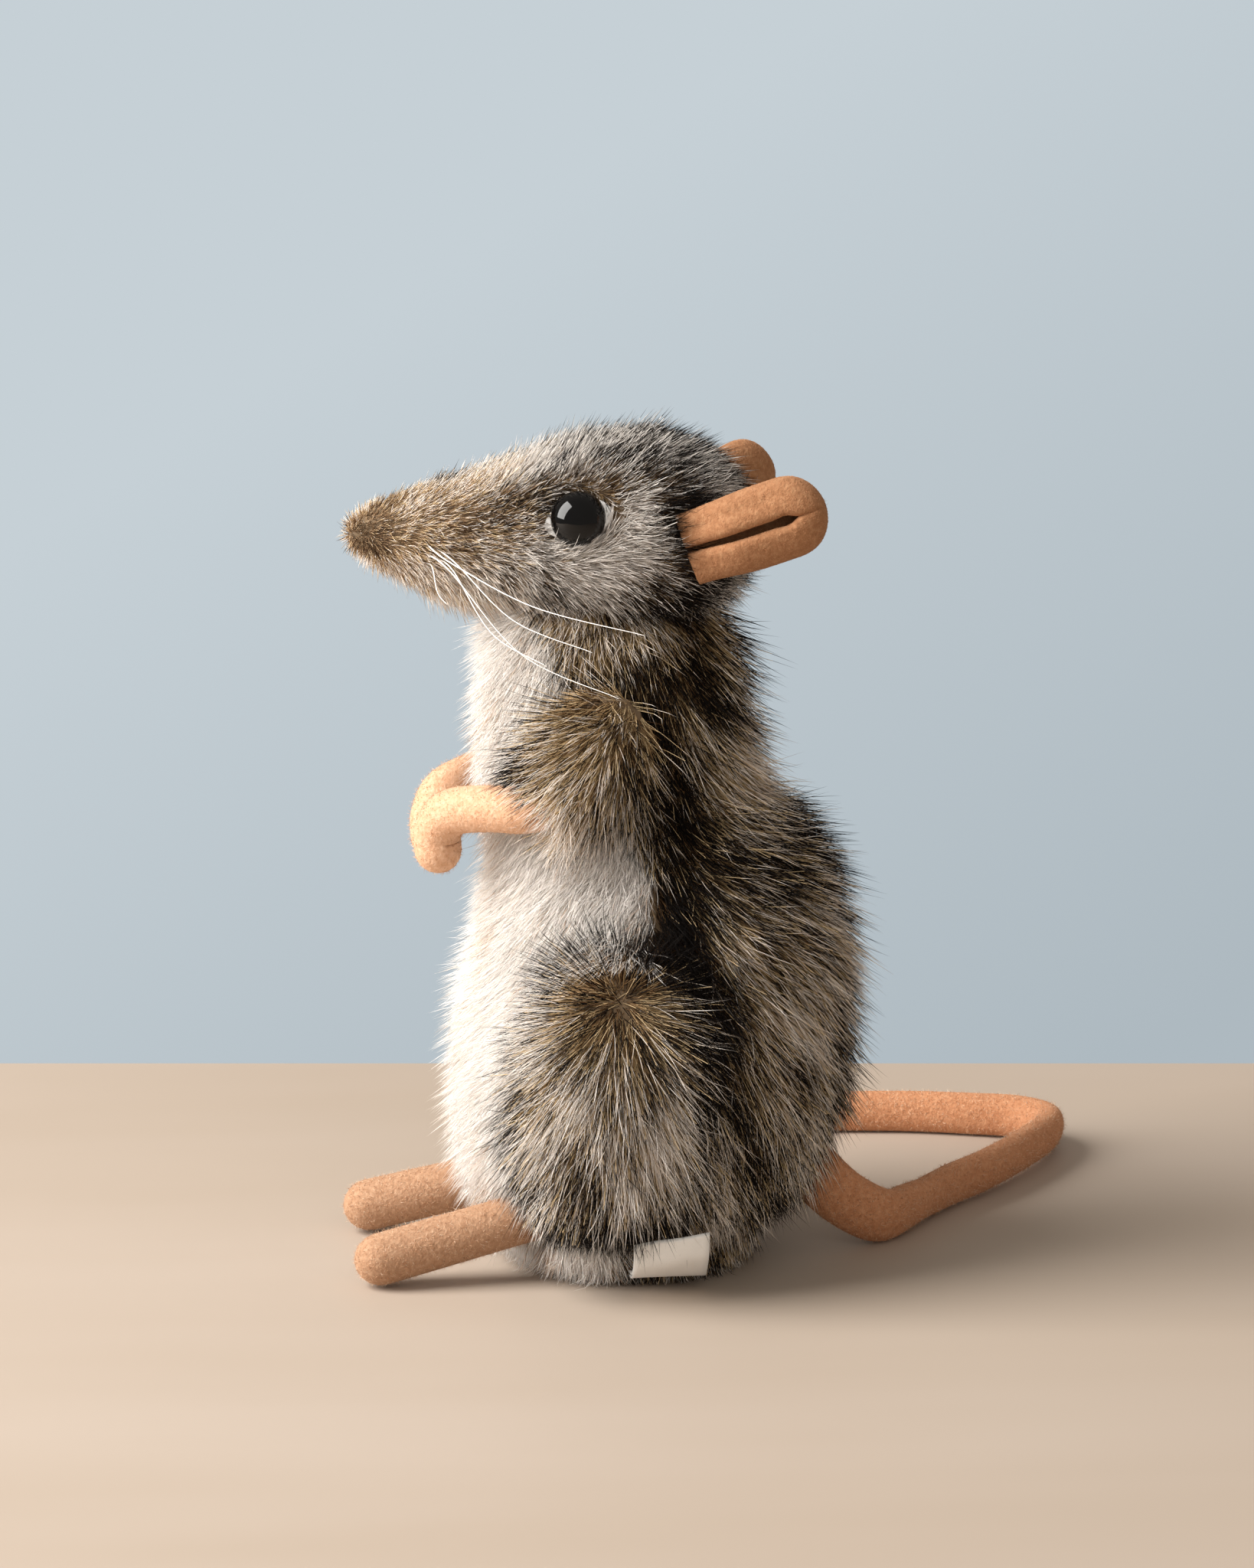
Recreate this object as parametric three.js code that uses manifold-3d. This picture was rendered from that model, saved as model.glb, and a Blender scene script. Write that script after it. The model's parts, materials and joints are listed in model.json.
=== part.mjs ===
// Sitting plush mouse in pile fabric and felt, in millimetres.
// +Z is up, the mouse faces -Y, and its left side is at +X.
// The origin is on the flat underside of the base panel, below the middle of the body.
import * as THREE from "three";
import { mergeVertices } from "three/addons/utils/BufferGeometryUtils.js";
import Module from "manifold-3d";

const wasm = await Module();
wasm.setup();

// Driving dimensions
const GAP = 0.3;                 // between pieces that touch
const RUNNING_GAP = 0.5;         // round pieces that move
const NECK_GAP = 0.9;            // between the neck and the head that nods on it
const PILE_CLOTH = 3.2;          // pile fabric, its backing and the pressed pile
const HEAD_CLOTH = 2.5;          // shorter pile of the head
const TUBE_SIDES = 8;            // facets round a felt tube
const CAP_ANGLES = [35, 65];     // rings of a ball end
const FELT = 1.7;                // felt wall of the paws, feet, ears and tail
const FAR = 200;                 // beyond the whole mouse
const THINNEST = 0.6;            // least half-width of the head's filling
const FUR = "#8f8168";
const CREAM = "#e8dccd";
const MUZZLE_BROWN = "#8a6a48";
const FELT_TAN = "#cc925f";
const FIBRE = "#f0eeea";
const SATIN = "#f2f0ec";
const EYE_BLACK = "#0a0a0b";
const WHITE_FELT = "#f4f3f1";
const WASHER_WHITE = "#e8e8e6";
const NYLON = "#f6f6f4";

// Body sections from the base to the neck: where the front and back lie in Y, and half the width
const BODY = [
  { z: 2.8, front: -25, back: 21, half: 25 },
  { z: 9, front: -33, back: 27, half: 31 },
  { z: 20, front: -38.5, back: 34, half: 35.5 },
  { z: 34, front: -40, back: 39, half: 37.5 },
  { z: 50, front: -40, back: 41.5, half: 37.5 },
  { z: 65, front: -37, back: 41, half: 35 },
  { z: 79, front: -33.5, back: 38.5, half: 29 },
  { z: 91, front: -34, back: 32, half: 21.5 },
  { z: 101, front: -37, back: 24, half: 18.6 },
  { z: 112, front: -37.5, back: 20.5, half: 17.6 },
  { z: 125, front: -36.5, back: 18.5, half: 17 },
];
const NECK = { y: -9, z: 125, half: 17, radius: 27.5 };   // dome that the head nods on
const BODY_STEPS = { around: 18, along: 11 };
const OPEN_FOOT = 1;             // height at which the hollow of the body starts, below the skins
const BASE_THICKNESS = 2.5;
const POUCH = { at: [0, 2, 9.3], radii: [21, 18.5, 6.2] };
const POUCH_ARC = [-90, -60, -30, 0, 30, 60, 90];
const STUFFING_FLOOR = 16;
// Seam between the belly and the back, as Y and Z, closed round the front
const SIDE_SEAM = [
  [-60, 0], [-12, 0], [-10, 30], [-5, 60], [-4, 88], [-12, 105], [-24, 128], [-34, 160], [-60, 160],
];

// Head sections from the nose to the nape
const HEAD = [
  { y: -62.5, top: 156.6, bottom: 150.4, half: 3.2 },
  { y: -58, top: 159.6, bottom: 147.2, half: 6.2 },
  { y: -46, top: 163.5, bottom: 142.5, half: 10.3 },
  { y: -34, top: 166.8, bottom: 138.5, half: 14.5 },
  { y: -22, top: 171, bottom: 134.5, half: 18.5 },
  { y: -10, top: 174, bottom: 132.5, half: 21.5 },
  { y: 2, top: 174, bottom: 133, half: 21.5 },
  { y: 11, top: 169.5, bottom: 137.5, half: 17.5 },
  { y: 17.5, top: 161, bottom: 144.5, half: 10 },
];
const HEAD_STEPS = { around: 16, along: 9 };
const HEAD_ENDS = { nose: -63.6, nape: 20.5, z: 153.4 };
const HEAD_TAPER = { nose: 2, nape: 1.2 };   // how fast the ends draw back as the head is made smaller
const CROWN_SEAM = [[2, -70], [3, -50], [8, -20], [9, 0], [6, 30]];    // X and Y from above
const CHIN_SEAM = [[2.4, -70], [4, -55], [8, -38]];
const CHIN_END = -15;
const CHIN_DROP = 3;             // top of the chin panel below the middle of the head

const EYE = { at: [17.9, -16.5, 159], facing: [0.9, -0.24, 0.36], radius: 5.7, dome: 5.2, sunk: 0.5 };
const EYE_ROOM = 12;             // depth of the pocket behind an eye
const SHANK = { radius: 1.8, length: 9 };
const BACKING = { long: 15.5, tall: 11, thickness: 1, sunk: 1.3, clearance: 6 };
const WASHER = { radius: 5, thickness: 1.5, sunk: 5.2 };

const EAR = { root: [22.5, 8, 154], length: 26.8, radius: 8.6, depth: 5.6, pitch: 17, slit: 3.4, wall: 2.1 };
const EAR_YAW = { left: 12, right: 42 };   // how far each ear spreads out from straight back

const THIGH = { at: [30, -10, 40], radii: [16, 20.5, 32.5] };
const SLEEVE = { at: [20, -15, 109], radii: [12.5, 13, 17.5], tilt: 32, flat: 19.2 };
const PAW_RADIUS = 5;
const PAW_PATH = [
  [24, -17, 104], [22.5, -26.5, 100], [16.5, -35.5, 99],
  [10.5, -42, 97], [7, -44.5, 92.5], [6.3, -44.5, 88.5],
];

const HIP = { at: [18, -26, 13.5], lift: 25 };
const TOE = [21.5, -57.6, 5.8];
const FOOT_RADIUS = 5.5;
const LIMB_ROOM = 0.8;           // round the foot and the tail, in the skins and the stuffing

const TAIL_SWING = 15;
const TAIL_RADIUS = { root: 5, tip: 4 };
const TAIL_PATH = [
  [0, 33, 18], [-0.5, 40, 11], [-3, 48.5, 6], [-12, 55, 5.3], [-28.5, 66, 5.2], [-40, 75.5, 5.4],
  [-56, 86, 5.6], [-70, 93, 5.4], [-80, 94, 5], [-87.5, 88.5, 4.8], [-91.5, 79, 4.6],
  [-95, 66.5, 4.5], [-96.8, 52, 4.4], [-98, 36, 4.3],
];

// Side view of the label ribbon as X and Z, from the seam out and up along the thigh
const LABEL_PATH = [[27.9, 3.4], [33.5, 4.4], [37.8, 7.4], [39.8, 12.6]];
const LABEL = { from: -7, to: 8.5, thickness: 1 };

const WHISKER_RADIUS = 0.3;
const WHISKER_ROOTS = { y: -46.5, z: 150.5, spread: 2 };
const WHISKER_SPRING = [0.18, 0.08, -0.04];   // from the root to the first bend, as shares of the length
const WHISKER_DROOP = [0.65, 0.5, 0.72];      // shares of the way to the tip at the second bend
const WHISKER_TIPS = [
  [44, -6.5, 140], [38, -16, 135.5], [40, -11, 126.5], [34, -24.5, 132], [17, -43, 141.5],
];

// Value of a smooth curve through evenly numbered values, with s from 0 to 1
function smooth(values, s) {
  const points = values.map((value, index) => new THREE.Vector2(index, value));
  return new THREE.SplineCurve(points).getPoint(s).y;
}

function radians(degrees) {
  return THREE.MathUtils.degToRad(degrees);
}

// Turns a geometry into a solid that can be joined and cut
function solid(geometry) {
  const bare = geometry.clone();
  bare.deleteAttribute("normal");
  bare.deleteAttribute("uv");
  const merged = mergeVertices(bare, 1e-4);
  const triangles = merged.index.array;
  const places = merged.attributes.position.array;
  const kept = [];
  let volume = 0;
  const corner = (index) => new THREE.Vector3().fromArray(places, 3 * index);
  for (let i = 0; i < triangles.length; i += 3) {
    const [a, b, c] = triangles.slice(i, i + 3);
    if (a !== b && b !== c && c !== a) {
      kept.push(a, b, c);
      volume += corner(a).dot(corner(b).cross(corner(c)));
    }
  }
  if (volume < 0) {
    kept.reverse();
  }
  const mesh = new wasm.Mesh({
    numProp: 3,
    vertProperties: Float32Array.from(places),
    triVerts: Uint32Array.from(kept),
  });
  return new wasm.Manifold(mesh);
}

// Closed solid through rings: section(s) gives a centre and two half-axes, for s from 0 to 1
function loft(section, ends, around, along) {
  const geometry = new THREE.SphereGeometry(1, around, along);
  const places = geometry.attributes.position;
  for (let row = 0; row <= along; row += 1) {
    const pole = row === 0 || row === along;
    const ring = pole ? null : section((row - 1) / (along - 2));
    for (let step = 0; step <= around; step += 1) {
      const angle = (step % around) * 2 * Math.PI / around;
      const point = pole
        ? new THREE.Vector3(...ends[row === 0 ? 0 : 1])
        : ring.centre.clone()
          .addScaledVector(ring.u, Math.cos(angle))
          .addScaledVector(ring.v, Math.sin(angle));
      places.setXYZ(row * (around + 1) + step, point.x, point.y, point.z);
    }
  }
  return solid(geometry);
}

function box(low, high) {
  const size = high.map((value, axis) => value - low[axis]);
  const geometry = new THREE.BoxGeometry(...size);
  geometry.translate(...low.map((value, axis) => value + size[axis] / 2));
  return solid(geometry);
}

// Everything beyond a plane across X
function leftOf(x) {
  return box([x, -FAR, -FAR], [FAR, FAR, FAR]);
}

// Everything beyond a plane across Z
function above(z) {
  return box([-FAR, -FAR, z], [FAR, FAR, FAR]);
}

function ellipsoid(radii, at, tilt = 0, around = 12, along = 8) {
  const geometry = new THREE.SphereGeometry(1, around, along);
  geometry.rotateX(Math.PI / 2);
  geometry.scale(...radii);
  geometry.rotateX(radians(tilt));
  geometry.translate(...at);
  return solid(geometry);
}

// Tube along a smooth curve, with a ball end round its first and its last point
function roundTube(points, rootRadius, tipRadius, steps) {
  const places = points.map((point) => new THREE.Vector3(...point));
  const beyond = (end, before, reach) => end.clone().add(end.clone().sub(before).setLength(reach));
  const curve = new THREE.CatmullRomCurve3([
    beyond(places[0], places[1], rootRadius),
    ...places,
    beyond(places.at(-1), places.at(-2), tipRadius),
  ]);
  const length = curve.getLength();
  const capAngles = CAP_ANGLES.map(radians);
  const straight = length - rootRadius - tipRadius;
  const stops = [
    ...capAngles.map((angle) => rootRadius * (1 - Math.cos(angle))),
    ...Array.from({ length: steps + 1 }, (_, i) => rootRadius + straight * i / steps),
    ...capAngles.toReversed().map((angle) => length - tipRadius * (1 - Math.cos(angle))),
  ];
  const section = (s) => {
    const reach = stops[Math.round(s * (stops.length - 1))];
    const share = reach / length;
    const radius = rootRadius + (tipRadius - rootRadius) * share;
    const fromEnd = Math.min(reach / rootRadius, (length - reach) / tipRadius, 1);
    const size = radius * Math.sqrt(1 - (1 - fromEnd) ** 2);
    const along = curve.getTangentAt(share);
    const side = new THREE.Vector3(0, 0, 1).cross(along).normalize();
    const up = along.clone().cross(side);
    return { centre: curve.getPointAt(share), u: side.multiplyScalar(size), v: up.multiplyScalar(size) };
  };
  const ends = [curve.getPointAt(0).toArray(), curve.getPointAt(1).toArray()];
  return loft(section, ends, TUBE_SIDES, stops.length + 1);
}

// Thin thread of even thickness along a smooth curve
function thread(points, radius) {
  const curve = new THREE.CatmullRomCurve3(points.map((point) => new THREE.Vector3(...point)));
  const corners = [0, 72, 144, 216, 288].map(radians);
  const section = new THREE.Shape(corners.map(
    (angle) => new THREE.Vector2(radius * Math.cos(angle), radius * Math.sin(angle)),
  ));
  return solid(new THREE.ExtrudeGeometry(section, { steps: 6, extrudePath: curve, bevelEnabled: false }));
}

// The body and neck, made smaller all round by inset
function bodySolid(inset, foot = BODY[0].z) {
  const column = (name, sign) => BODY.map((station) => station[name] + sign * inset);
  const heights = BODY.map((station, index) => (index === 0 ? foot : station.z));
  const section = (s) => {
    const front = smooth(column("front", 1), s);
    const back = smooth(column("back", -1), s);
    return {
      centre: new THREE.Vector3(0, (front + back) / 2, smooth(heights, s)),
      u: new THREE.Vector3(smooth(column("half", -1), s), 0, 0),
      v: new THREE.Vector3(0, (back - front) / 2, 0),
    };
  };
  const middle = (BODY[0].front + BODY[0].back) / 2;
  const ends = [[0, middle, foot], [0, NECK.y, NECK.z]];
  return loft(section, ends, BODY_STEPS.around, BODY_STEPS.along).add(neckDome(inset));
}

function neckDome(inset) {
  const radii = [NECK.half - inset, NECK.radius - inset, NECK.radius - inset];
  return ellipsoid(radii, [0, NECK.y, NECK.z], 0, BODY_STEPS.around, 10);
}

function headSolid(inset) {
  const section = (s) => {
    const top = smooth(HEAD.map((station) => station.top - inset), s);
    const bottom = smooth(HEAD.map((station) => station.bottom + inset), s);
    const half = smooth(HEAD.map((station) => Math.max(station.half - inset, THINNEST)), s);
    const y = smooth(HEAD.map((station) => station.y), s);
    const foremost = HEAD_ENDS.nose + HEAD_TAPER.nose * inset;
    const shrunk = Math.min(Math.max(y, foremost), HEAD_ENDS.nape - HEAD_TAPER.nape * inset);
    return {
      centre: new THREE.Vector3(0, shrunk, (top + bottom) / 2),
      u: new THREE.Vector3(half, 0, 0),
      v: new THREE.Vector3(0, 0, Math.max((top - bottom) / 2, THINNEST)),
    };
  };
  const ends = [
    [0, HEAD_ENDS.nose + HEAD_TAPER.nose * inset, HEAD_ENDS.z],
    [0, HEAD_ENDS.nape - inset, HEAD_ENDS.z],
  ];
  return loft(section, ends, HEAD_STEPS.around, HEAD_STEPS.along);
}

// Prism of an outline, drawn in the plane across axis, from low to high along it
function prism(outline, axis, low, high) {
  const geometry = new THREE.ExtrudeGeometry(new THREE.Shape(outline), {
    depth: high - low, bevelEnabled: false, curveSegments: 12,
  });
  geometry.translate(0, 0, low);
  if (axis === "x") {
    geometry.rotateX(Math.PI / 2);
    geometry.rotateZ(Math.PI / 2);
  }
  return solid(geometry);
}

// Puts a solid made at the origin, facing +Z, at a place, facing along a direction
function facing(made, at, direction) {
  const turn = new THREE.Quaternion().setFromUnitVectors(
    new THREE.Vector3(0, 0, 1), new THREE.Vector3(...direction).normalize(),
  );
  const matrix = new THREE.Matrix4().compose(
    new THREE.Vector3(...at), turn, new THREE.Vector3(1, 1, 1),
  );
  return made.transform(matrix.elements);
}

function mirrored(made) {
  return made.mirror([1, 0, 0]);
}

// Turns a solid about an axis through a point, by the right-hand rule
function turned(made, at, axis, degrees) {
  const matrix = new THREE.Matrix4().makeTranslation(...at)
    .multiply(new THREE.Matrix4().makeRotationAxis(new THREE.Vector3(...axis), radians(degrees)))
    .multiply(new THREE.Matrix4().makeTranslation(...at.map((value) => -value)));
  return made.transform(matrix.elements);
}

// The room that a moving solid needs: the solid at each of these angles, joined
function swept(made, at, axis, angles) {
  return angles
    .map((degrees) => turned(made, at, axis, degrees))
    .reduce((room, posed) => room.add(posed));
}

// Body skins, stuffing and base
const bodyShell = bodySolid(0).subtract(bodySolid(PILE_CLOTH, OPEN_FOOT));

function bellyRegion(gap) {
  return prism(SIDE_SEAM.map(([y, z]) => new THREE.Vector2(y + gap, z)), "x", -FAR, FAR);
}

function backPanel() {
  return bodyShell.subtract(bellyRegion(GAP)).intersect(leftOf(GAP / 2));
}

function basePanel() {
  const geometry = new THREE.CylinderGeometry(1, 1, BASE_THICKNESS, 28);
  geometry.rotateX(Math.PI / 2);
  const { front, back, half } = BODY[0];
  geometry.scale(half, (back - front) / 2, 1);
  geometry.translate(0, (front + back) / 2, BASE_THICKNESS / 2);
  return solid(geometry);
}

function bodyStuffing() {
  return bodySolid(PILE_CLOTH + GAP).intersect(above(STUFFING_FLOOR));
}

function pelletPouch() {
  const { at, radii } = POUCH;
  const profile = POUCH_ARC.map(radians).map(
    (angle) => new THREE.Vector2(Math.cos(angle), Math.sin(angle)),
  );
  profile[0].x = 0;
  profile[profile.length - 1].x = 0;
  const geometry = new THREE.LatheGeometry(profile, 16);
  geometry.rotateX(Math.PI / 2);
  geometry.scale(...radii);
  geometry.translate(...at);
  return solid(geometry);
}

function thighBulge(inset) {
  return ellipsoid(THIGH.radii.map((radius) => radius - inset), THIGH.at);
}

function thigh() {
  return thighBulge(0).subtract(bodySolid(-GAP)).subtract(thighBulge(PILE_CLOTH)).subtract(footRoom);
}

function thighStuffing() {
  return thighBulge(PILE_CLOTH + GAP).subtract(bodySolid(-2 * GAP)).subtract(footRoom);
}

// Head skins, stuffing and eyes
const headShell = headSolid(0)
  .subtract(headSolid(HEAD_CLOTH))
  .subtract(neckDome(-NECK_GAP));

// Prism between a seam seen from above, moved out by gap, and its mirror image
function strip(seam, gap, low, high) {
  const left = seam.map(([x, y]) => new THREE.Vector2(x + gap, y));
  const right = left.toReversed().map((point) => new THREE.Vector2(-point.x, point.y));
  return prism([...left, ...right], "z", low, high);
}

function crownRegion(gap) {
  return strip(CROWN_SEAM, gap, HEAD_ENDS.z - gap, FAR);
}

function chinRegion(gap) {
  const last = [CHIN_SEAM.at(-1)[0], CHIN_END + gap];
  return strip([...CHIN_SEAM, last], gap, 0, HEAD_ENDS.z - CHIN_DROP + gap);
}

// Round hole along the eye's axis, from far outside the head to the bottom of the pocket
function eyePocket(radius) {
  const outside = 20;
  const geometry = new THREE.CylinderGeometry(radius, radius, EYE_ROOM + outside, 10);
  geometry.rotateX(Math.PI / 2);
  geometry.translate(0, 0, (outside - EYE_ROOM) / 2);
  return facing(solid(geometry), EYE.at, EYE.facing);
}

function headPanel() {
  return headShell
    .subtract(crownRegion(GAP))
    .subtract(chinRegion(GAP))
    .intersect(leftOf(GAP / 2))
    .subtract(backingSolid(GAP, BACKING.clearance))
    .subtract(eyePocket(SHANK.radius + GAP));
}

function headStuffing() {
  const room = eyePocket(WASHER.radius + GAP);
  return headSolid(HEAD_CLOTH + GAP)
    .subtract(neckDome(-NECK_GAP - GAP))
    .subtract(room)
    .subtract(mirrored(room));
}

function domedEye() {
  const profile = [new THREE.Vector2(0, -SHANK.length), new THREE.Vector2(SHANK.radius, -SHANK.length)];
  profile.push(new THREE.Vector2(SHANK.radius, 0));
  for (let step = 0; step <= 4; step += 1) {
    const angle = step * Math.PI / 8;
    profile.push(new THREE.Vector2(EYE.radius * Math.cos(angle), EYE.dome * Math.sin(angle)));
  }
  profile[profile.length - 1].x = 0;
  const geometry = new THREE.LatheGeometry(profile, 14);
  geometry.rotateX(Math.PI / 2);
  geometry.translate(0, 0, -EYE.sunk);
  return facing(solid(geometry), EYE.at, EYE.facing);
}

// Almond of white felt under the eye, with a hole for the shank; its long way lies along the head
function backingSolid(growth, outward = 0) {
  const geometry = new THREE.CylinderGeometry(1, 1, BACKING.thickness + 2 * growth + outward, 14);
  geometry.rotateX(Math.PI / 2);
  geometry.scale(BACKING.tall / 2 + growth, BACKING.long / 2 + growth, 1);
  geometry.translate(0, 0, outward / 2 - BACKING.sunk);
  return facing(solid(geometry), EYE.at, EYE.facing);
}

function eyeBacking() {
  return backingSolid(0).subtract(eyePocket(SHANK.radius + GAP));
}

function eyeWasher() {
  const inner = SHANK.radius + GAP;
  const low = -WASHER.sunk;
  const corners = [[inner, low], [WASHER.radius, low], [WASHER.radius, low + WASHER.thickness]];
  const profile = [...corners, [inner, low + WASHER.thickness], [inner, low]];
  const geometry = new THREE.LatheGeometry(profile.map(([x, y]) => new THREE.Vector2(x, y)), 12);
  geometry.rotateX(Math.PI / 2);
  return facing(solid(geometry), EYE.at, EYE.facing);
}

// Felt leaf curled lengthwise into a slipper, its slit facing outwards. It is spread out from the
// head by yaw degrees, and its root is cut so that it can turn from one of the two yaws to the other.
function ear(yaw) {
  const shell = (inset) => {
    const geometry = new THREE.CapsuleGeometry(EAR.radius - inset, EAR.length, 4, 14, 1);
    geometry.translate(0, EAR.length / 2 - EAR.radius, 0);
    geometry.scale((EAR.depth - inset) / (EAR.radius - inset), 1, 1);
    return solid(geometry);
  };
  const reach = 2 * EAR.length;
  const slit = box([0, -reach, -EAR.slit / 2], [reach, EAR.length - EAR.radius / 2, EAR.slit / 2]);
  const leaf = shell(0)
    .subtract(shell(EAR.wall))
    .subtract(slit)
    .intersect(box([-reach, 0, -reach], [reach, reach, reach]));
  const matrix = new THREE.Matrix4().makeTranslation(...EAR.root)
    .multiply(new THREE.Matrix4().makeRotationZ(radians(-yaw)))
    .multiply(new THREE.Matrix4().makeRotationX(radians(EAR.pitch)));
  const turns = [EAR_YAW.left - yaw, EAR_YAW.right - yaw];
  return leaf.transform(matrix.elements)
    .subtract(swept(headSolid(-RUNNING_GAP), EAR.root, [0, 0, 1], turns));
}

function whiskers() {
  return WHISKER_TIPS.map((tip, index) => {
    const y = WHISKER_ROOTS.y + WHISKER_ROOTS.spread * (index % 2);
    const z = WHISKER_ROOTS.z + WHISKER_ROOTS.spread * (1 - index / 2);
    const muzzle = headSection(y);
    const lift = (z - muzzle.z) / muzzle.tall;
    const x = muzzle.half * Math.sqrt(1 - lift ** 2) + WHISKER_RADIUS + RUNNING_GAP;
    const root = [x, y, z];
    const length = Math.hypot(...root.map((value, axis) => tip[axis] - value));
    const near = root.map((value, axis) => value + length * WHISKER_SPRING[axis]);
    const far = root.map((value, axis) => value + (tip[axis] - value) * WHISKER_DROOP[axis]);
    return thread([root, near, far, tip], WHISKER_RADIUS);
  });
}

function headSection(y) {
  const after = HEAD.findIndex((station) => station.y > y);
  const [low, high] = [HEAD[after - 1], HEAD[after]];
  const share = (y - low.y) / (high.y - low.y);
  const mix = (name) => low[name] + (high[name] - low[name]) * share;
  return { half: mix("half"), z: (mix("top") + mix("bottom")) / 2, tall: (mix("top") - mix("bottom")) / 2 };
}

// Arms
function paw(growth) {
  return roundTube(PAW_PATH, PAW_RADIUS + growth, PAW_RADIUS + growth, 5);
}

// Felt tube, open at its root so that it holds its stuffing
function feltTube(outer, inner, opening) {
  return outer.subtract(inner).subtract(opening);
}

// Ball that opens the root of a felt tube
function mouth(points, radius) {
  const [root, next] = points.map((point) => new THREE.Vector3(...point));
  const at = root.clone().add(root.clone().sub(next).setLength(radius)).toArray();
  const size = radius - FELT;
  return ellipsoid([size, size, size], at, 0, 8, 6);
}

function sleeve(inset, flat) {
  const radii = SLEEVE.radii.map((radius) => radius - inset);
  return ellipsoid(radii, SLEEVE.at, -SLEEVE.tilt)
    .intersect(leftOf(flat))
    .subtract(bodySolid(-RUNNING_GAP));
}

function upperArm() {
  return sleeve(0, SLEEVE.flat)
    .subtract(sleeve(PILE_CLOTH, SLEEVE.flat - 5))
    .subtract(paw(GAP));
}

function upperArmStuffing() {
  return sleeve(PILE_CLOTH + GAP, SLEEVE.flat + GAP).subtract(paw(GAP));
}

function forepaw() {
  return feltTube(paw(0), paw(-FELT), mouth(PAW_PATH, PAW_RADIUS));
}

// Hind feet
function foot(growth) {
  return roundTube([HIP.at, TOE], FOOT_RADIUS + growth, FOOT_RADIUS + growth, 1);
}

function hindFoot() {
  return feltTube(foot(0), foot(-FELT), mouth([HIP.at, TOE], FOOT_RADIUS));
}

// Tail
function tail(growth) {
  return roundTube(TAIL_PATH, TAIL_RADIUS.root + growth, TAIL_RADIUS.tip + growth, 17);
}

function tailFelt() {
  return feltTube(tail(0), tail(-FELT), mouth(TAIL_PATH, TAIL_RADIUS.root));
}

// Ribbon along its path, from front to back
function sewnLabel() {
  const path = new THREE.SplineCurve(LABEL_PATH.map(([x, z]) => new THREE.Vector2(x, z)));
  const stops = [0, 0.25, 0.5, 0.75, 1];
  const edge = (offset) => stops.map((stop) => {
    const along = path.getTangent(stop);
    return path.getPoint(stop).add(new THREE.Vector2(-along.y, along.x).multiplyScalar(offset));
  });
  const outline = [...edge(LABEL.thickness / 2), ...edge(-LABEL.thickness / 2).toReversed()];
  const depth = LABEL.to - LABEL.from;
  const geometry = new THREE.ExtrudeGeometry(new THREE.Shape(outline), { depth, bevelEnabled: false });
  geometry.rotateX(Math.PI / 2);
  geometry.translate(0, LABEL.to, 0);
  return solid(geometry);
}

// Room that the feet and the tail take in the skins and the stuffing
const footRoom = swept(foot(LIMB_ROOM), HIP.at, [-1, 0, 0], [0, HIP.lift]);
const stubRadius = TAIL_RADIUS.root + LIMB_ROOM;
const tailStub = roundTube(TAIL_PATH.slice(0, 3), stubRadius, stubRadius, 1);
const tailRoom = swept(tailStub, TAIL_PATH[0], [0, 0, 1], [-TAIL_SWING, 0, TAIL_SWING]);
const limbRoom = footRoom.add(mirrored(footRoom)).add(tailRoom);

const mouse = new THREE.Group();

function place(name, made, color, roughness = 0.95) {
  const { vertProperties, triVerts } = made.getMesh();
  const geometry = new THREE.BufferGeometry();
  geometry.setAttribute("position", new THREE.BufferAttribute(vertProperties, 3));
  geometry.setIndex(new THREE.BufferAttribute(triVerts, 1));
  geometry.computeVertexNormals();
  const material = new THREE.MeshStandardMaterial({ color, roughness, metalness: 0 });
  const mesh = new THREE.Mesh(geometry, material);
  mesh.name = name;
  mouse.add(mesh);
}

function placePair(name, made, color, roughness) {
  place(`${name}_left`, made, color, roughness);
  place(`${name}_right`, mirrored(made), color, roughness);
}

place("back_panel_left", backPanel().subtract(limbRoom), FUR);
place("back_panel_right", mirrored(backPanel()).subtract(limbRoom), FUR);
place("belly_panel", bodyShell.intersect(bellyRegion(0)).subtract(limbRoom), CREAM);
place("base_panel", basePanel(), CREAM);
place("body_stuffing", bodyStuffing().subtract(limbRoom), FIBRE);
place("pellet_pouch", pelletPouch(), FIBRE);
placePair("thigh", thigh(), FUR);
placePair("thigh_stuffing", thighStuffing(), FIBRE);
place("sewn_label", sewnLabel(), SATIN, 0.8);

placePair("head_panel", headPanel(), FUR);
place("crown_gusset", headShell.intersect(crownRegion(0)), MUZZLE_BROWN);
place("chin_panel", headShell.intersect(chinRegion(0)), CREAM);
place("head_stuffing", headStuffing(), FIBRE);
placePair("eye", domedEye(), EYE_BLACK, 0.08);
placePair("eye_backing", eyeBacking(), WHITE_FELT);
placePair("eye_washer", eyeWasher(), WASHER_WHITE, 0.5);
place("ear_left", ear(EAR_YAW.left), FELT_TAN);
place("ear_right", mirrored(ear(EAR_YAW.right)), FELT_TAN);
whiskers().forEach((whisker, index) => placePair(`whisker_${index + 1}`, whisker, NYLON, 0.4));

placePair("upper_arm", upperArm(), FUR);
placePair("upper_arm_stuffing", upperArmStuffing(), FIBRE);
placePair("forepaw", forepaw(), FELT_TAN);
placePair("forepaw_stuffing", paw(-FELT - GAP), FIBRE);
placePair("hind_foot", hindFoot(), FELT_TAN);
placePair("hind_foot_stuffing", foot(-FELT - GAP), FIBRE);
place("tail", tailFelt(), FELT_TAN);
place("tail_stuffing", tail(-FELT - GAP), FIBRE);

export default mouse;
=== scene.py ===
import json
from collections import namedtuple
from math import ceil, cos, pi, radians, sin, sqrt

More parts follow.
